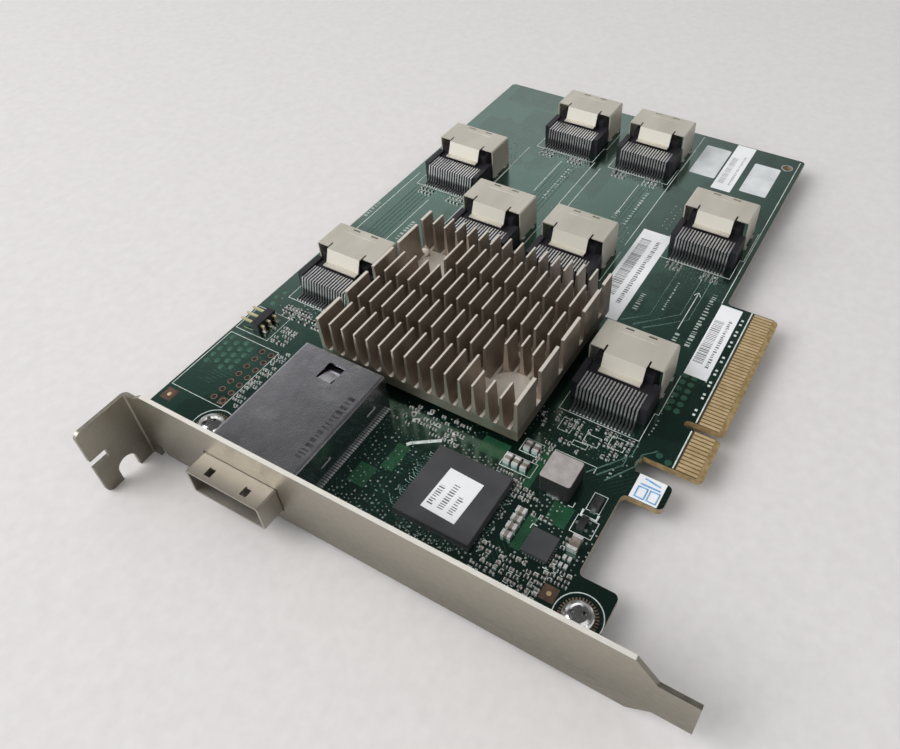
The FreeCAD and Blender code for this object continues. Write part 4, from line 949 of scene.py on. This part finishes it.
def inkRow(style, seed, x0, x1, y0, y1, z):
    # all but bars differ in height and stop at the end of the row
    dice = random.Random(seed)
    wides, gaps = rowStyles[style]
    row = []
    x = x0
    while x < x1:
        wide = dice.choice(wides)
        lift = 0 if style == "bar" else dice.choice((0, 0, 0.25)) * (y1 - y0)
        end = x + wide if style == "bar" else min(x + wide, x1)
        row.append(block(x, end, y0 + lift, y1, z, z + inkTall))
        x += wide + dice.choice(gaps)
    return row


def turnedRow(row, x, y, angle):
    turned = []
    for px, py, z, turn, stretch in row:
        place = Matrix.Rotation(angle, 2) @ Vector((px - x, py - y))
        turned.append((x + place.x, y + place.y, z, turn + angle, stretch))
    return turned


# rows of print: style, seed, x low, x high, y low, y high
labels = dict(
    paperTop=0.1 + sunk, chipMiddle=(17.5, 40.35), chipTurn=-0.05, chipInk=1.25, chipSeed=30, silkSeed=60,
    wide=[("bar", 21, 86.0, 110.0, 37.8, 40.6), ("dash", 22, 84.0, 110.5, 35.3, 36.4),
          ("bar", 23, 74.7, 90.0, 11.0, 13.3), ("dash", 24, 74.0, 91.0, 9.4, 10.2)],
    rear=[("bar", 25, 144.0, 158.0, 30.3, 32.0), ("dash", 26, 144.0, 160.0, 28.3, 29.0)],
    cage=("cage", 40, 6.6, 23.6, 66.4, 68.0),
    chip=((43.1, 13.7, 18.4), (40.7, 13.8, 19.8), (38.4, 13.8, 18.0)),
    silk=[(84.0, 90.2, 30.9, 32.1), (78.6, 82.0, 18.8, 19.9), (78.3, 98.0, 15.5, 16.7), (87.0, 98.4, 25.2, 25.7),
          (113.2, 130.0, 71.0, 72.4), (113.2, 130.0, 46.5, 47.9), (114.4, 118.2, 50.4, 51.5),
          (78.4, 87.0, 96.6, 97.6), (82.4, 90.0, 109.8, 110.8), (42.0, 44.2, 33.7, 34.3), (36.8, 39.4, 16.3, 16.9),
          (39.4, 47.0, 37.0, 37.5)])
prints, faintPrints = [[mark for row in labels[name] for mark in inkRow(*row, labels["paperTop"])]
                       for name in ("wide", "rear")]
chipTop = boxOf("label_logic_chip")[1].z + sunk
halfInk = labels["chipInk"] / 2
for i, (y, x0, x1) in enumerate(labels["chip"]):
    row = inkRow("chip", labels["chipSeed"] + i, x0, x1, y - halfInk, y + halfInk, chipTop)
    prints += turnedRow(row, *labels["chipMiddle"], labels["chipTurn"])
copies("labelPrints", prints, "block", "greyInk", "label_paper")
copies("faintPrints", faintPrints, "block", "faintInk", "label_paper")
copies("cagePrints", inkRow(*labels["cage"], cageHigh.z + sunk), "block", "printInk", "label_paper")
# boxes and strokes on the hook's label, from its low corner
hookLines = [rectLine(0.5, 3.0, 0.5, 2.4), rectLine(0.5, 3.0, 3.0, 4.9), [(3.7, 0.7), (3.7, 4.8)],
             [(4.6, 1.0), (5.2, 4.4)]]
hook = boxOf("label_hook")[0]
hookLines = [[(hook.x + x, hook.y + y) for x, y in line] for line in hookLines]
strips("hookLabelFields", hookLines, 0.28, 0.24, "blueInk", "label_paper")
marks = []
for i, row in enumerate(labels["silk"]):
    marks += inkRow("silk", labels["silkSeed"] + i, *row, sunk)
copies("silkMarks", marks, "block", "fadedSilk", "label_paper")
print("label prints made")


# the solder side: joints of the shells and the cage, the open header rings, and the parts under the two chips
underside = dict(shellJoint=(1.7, 1.2, 0.6), cageJoint=(1.3, 1.3, 0.6), cageX=(8.6, 13.4, 18.2, 23.0, 27.8),
                 cageInset=0.5, ringDrop=0.045, boreDrop=0.015, insets=dict(expander_chip=1.0, logic_chip=1.5),
                 viaPitch=1.0, viaShare=0.85, partPitch=(2.0, 1.5), partShare=0.6, partShift=0.5, outline=2, seed=71)
below = boxOf("circuit_board")[0].z
underDice = random.Random(underside["seed"])
cageSpots = [(x, y) for x in underside["cageX"]
             for y in (cageLow.y + underside["cageInset"], cageHigh.y - underside["cageInset"])]
joints = spots(tabSpots, underside["shellJoint"], below) + spots(cageSpots, underside["cageJoint"], below)
copies("underJoints", joints, "lowerJoint", "tinPlate", "tin_plating")
underRings = spots(headerSpots, header["ring"], below - underside["ringDrop"])
copies("underHeaderRings", underRings, "ring", "copperRing", "gold_plating")
underBores = spots(headerSpots, header["bore"], below - underside["boreDrop"])
copies("underHeaderBores", underBores, "dot", "boreShade", "board_laminate")
underVias = []
underParts = []
pitch = underside["viaPitch"]
for name, inset in underside["insets"].items():
    low, high = boxOf(name)
    wide, deep = high.x - low.x, high.y - low.y
    places = grid(low.x + inset, low.y + inset, wide - 2 * inset, deep - 2 * inset, pitch, pitch)
    underVias += [place for place in places if underDice.random() < underside["viaShare"]]
    shift = 4 * inset + underside["partShift"]
    places = grid(low.x + shift, low.y + shift, wide - 8 * inset, deep - 8 * inset, *underside["partPitch"])
    underParts += [place for place in places if underDice.random() < underside["partShare"]]

# each bundle has a way of its own from the expander to the foot of a port: where it starts, and where it bends
routes = dict(lines=8, close=0.28, corner=1.5, foot=-22.6, stagger=0.8, endPitch=0.5, width=0.16, tall=0.02,
              sides={3: (71.5, 72.5), 4: (52.2, 72.5), 5: (65.1, 108.0), 6: (62.8, 108.0)},
              ends={1: 43.5, 2: 68.0, 7: 68.0, 8: 44.0})
for mouth, middle, top in ports:
    for i, y in enumerate(evenRow(middle, portDetail["contacts"], portDetail["pitch"])):
        underVias.append((mouth + routes["foot"] - routes["stagger"] * (i % 2), y))
copies("underVias", spots(underVias, (1, 1, 1), below), "lowerVia", "viaTin", "tin_plating")
partSpots = spots(underParts, (1, 1, 1), below - sunk)
copies("underBodies", partSpots, "lowerBody", "ceramicBody", "capacitor_ceramic")
copies("underEnds", partSpots, "lowerEnds", "brightTin", "tin_plating")
expanderLow, expanderHigh = boxOf("expander_chip")
underTraces = []
for number, (start, bend) in routes["sides"].items():
    mouth, middle, top = ports[number - 1]
    for i, y in enumerate(evenRow(middle, routes["lines"], portDetail["pitch"])):
        meet = start + routes["close"] * i
        underTraces.append([(expanderHigh.x, meet), (bend, meet), (bend + abs(y - meet), y),
                            (mouth + routes["foot"], y)])
for number, start in routes["ends"].items():
    mouth, middle, top = ports[number - 1]
    way, edge = (1, expanderHigh.y) if middle > expanderHigh.y else (-1, expanderLow.y)
    for i, y in enumerate(evenRow(middle, routes["lines"], way * portDetail["pitch"])):
        x = start - routes["endPitch"] * i
        underTraces.append([(x, edge), (x, y - way * routes["corner"]), (x + routes["corner"], y),
                            (mouth + routes["foot"], y)])
strips("underTraces", underTraces, routes["width"], routes["tall"], "greenTrace", "board_laminate",
       below - routes["tall"])
grow = underside["outline"]
chipOutline = rectLine(expanderLow.x - grow, expanderHigh.x + grow, expanderLow.y - grow, expanderHigh.y + grow)
strips("underSilk", [chipOutline, rectLine(*header["outline"]), *screwRings], 0.2, silkTall, "silkInk", "label_paper",
       below - silkTall)
print("solder side made")

for template in templates.values():
    bpy.data.objects.remove(template)


stage = dict(size=4.0, side=0.32, above=0.15, level=0.46, horizon=0.36, shade=0.16, window=1.25, ceiling=0.08,
             wall=0.75, dark=(0.665, 0.645, 0.64), pale=(0.725, 0.705, 0.70))
floorMaterial, floorTree, floorShader = newMaterial("paleFloor", {"Roughness": 0.8, "Specular IOR Level": 0.2})
floorGrain = useGroup(floorTree, "grain", Scale=420.0, Low=0.2, High=0.8)["Mask"]
feed(floorTree, floorShader, {"Base Color": mixColour(floorTree, floorGrain, stage["dark"], stage["pale"])})
floorLoop = squareLoop(0, 0, stage["size"] / mm, stage["size"] / mm, cadBox[0][2] / mm)
floor = addObject("floor", makeMesh("floor", [(floorLoop, [(0, 1, 2, 3)])]))
floor.data.materials.append(floorMaterial)

world = bpy.data.worlds.new("softRoom")
bpy.context.scene.world = world
world.use_nodes = True
worldTree = world.node_tree
heading = axes(worldTree, "Generated")


def ramp(axis, low, high):
    return addNode(worldTree, "ShaderNodeMapRange", {"Value": heading[axis], "From Min": low, "From Max": high},
                   "Result", interpolation_type="SMOOTHSTEP")


def times(first, second):
    return sums(worldTree, "MULTIPLY", first, second)


def grey(name):
    return (stage[name],) * 3


# gloss sees a pale horizon that is dim on the card edge's side, a dim ceiling,
# a band of window, and a bright wall behind the bracket
tone = mixColour(worldTree, ramp("Y", -0.55, 0.10), grey("shade"), grey("horizon"))
tone = mixColour(worldTree, ramp("Z", 0.40, 0.60), tone, grey("ceiling"))
band = times(ramp("Z", 0.36, 0.52), times(ramp("Z", 0.72, 0.58), times(ramp("Y", 0.0, 0.38), ramp("X", 0.15, 0.5))))
tone = mixColour(worldTree, band, tone, grey("window"))
behind = sums(worldTree, "SUBTRACT", 1.0, ramp("X", -0.30, 0.02))
wall = times(behind, times(ramp("Z", 0.0, 0.14), ramp("Z", 0.92, 0.76)))
tone = mixColour(worldTree, wall, tone, grey("wall"))
# matt faces get light that leans to the top edge's side and upwards
lean = sums(worldTree, "MULTIPLY_ADD", heading["Y"], stage["side"], stage["level"])
lean = sums(worldTree, "MULTIPLY_ADD", heading["Z"], stage["above"], lean, clamp=True)
ray = addNode(worldTree, "ShaderNodeLightPath", pick=None)
seen = sums(worldTree, "MAXIMUM", ray["Is Camera Ray"], ray["Is Glossy Ray"])
seen = sums(worldTree, "MAXIMUM", seen, ray["Is Transmission Ray"])
feed(worldTree, worldTree.nodes["Background"], {"Color": mixColour(worldTree, seen, lean, tone), "Strength": 1.0})

lamps = dict(
    keySoftbox=dict(power=7.6, size=0.75, at=(-0.42, 0.56, 0.74), aim=(0.40, -0.30, 0.15)),
    fillSoftbox=dict(power=1.2, size=0.75, at=(-0.10, -0.75, 0.75), aim=(0.08, 0.055, 0.0)),
)
for name, lamp in lamps.items():
    light = bpy.data.lights.new(name, "AREA")
    light.shape = "SQUARE"
    light.size = lamp["size"]
    light.energy = lamp["power"]
    lampObject = addObject(name, light)
    lampObject.location = lamp["at"]
    lampObject.rotation_euler = (Vector(lamp["aim"]) - Vector(lamp["at"])).to_track_quat("-Z", "Y").to_euler()

view = dict(at=(-50.633, -13.075, 131.609), ahead=(0.610742, 0.345955, -0.712257), roll=-0.3196, lens=31.975,
            sensor=36.0, shiftX=-0.0769, shiftY=-0.0411, near=0.005)
ahead = Vector(view["ahead"]).normalized()
right = ahead.cross(Vector((0, 0, 1))).normalized()
up = right.cross(ahead)
roll = math.radians(view["roll"])
across = right * math.cos(roll) + up * math.sin(roll)
upright = up * math.cos(roll) - right * math.sin(roll)
camera = bpy.data.cameras.new("photoCamera")
camera.sensor_width = view["sensor"]
camera.lens = view["lens"]
camera.shift_x = view["shiftX"]
camera.shift_y = view["shiftY"]
camera.clip_start = view["near"]
cameraObject = addObject("photoCamera", camera)
pose = Matrix((across, upright, -ahead)).transposed().to_4x4()
pose.translation = Vector(view["at"]) * mm
cameraObject.matrix_world = pose
bpy.context.scene.camera = cameraObject
bpy.context.scene.view_settings.view_transform = "Standard"
print("stage, lights and camera set")
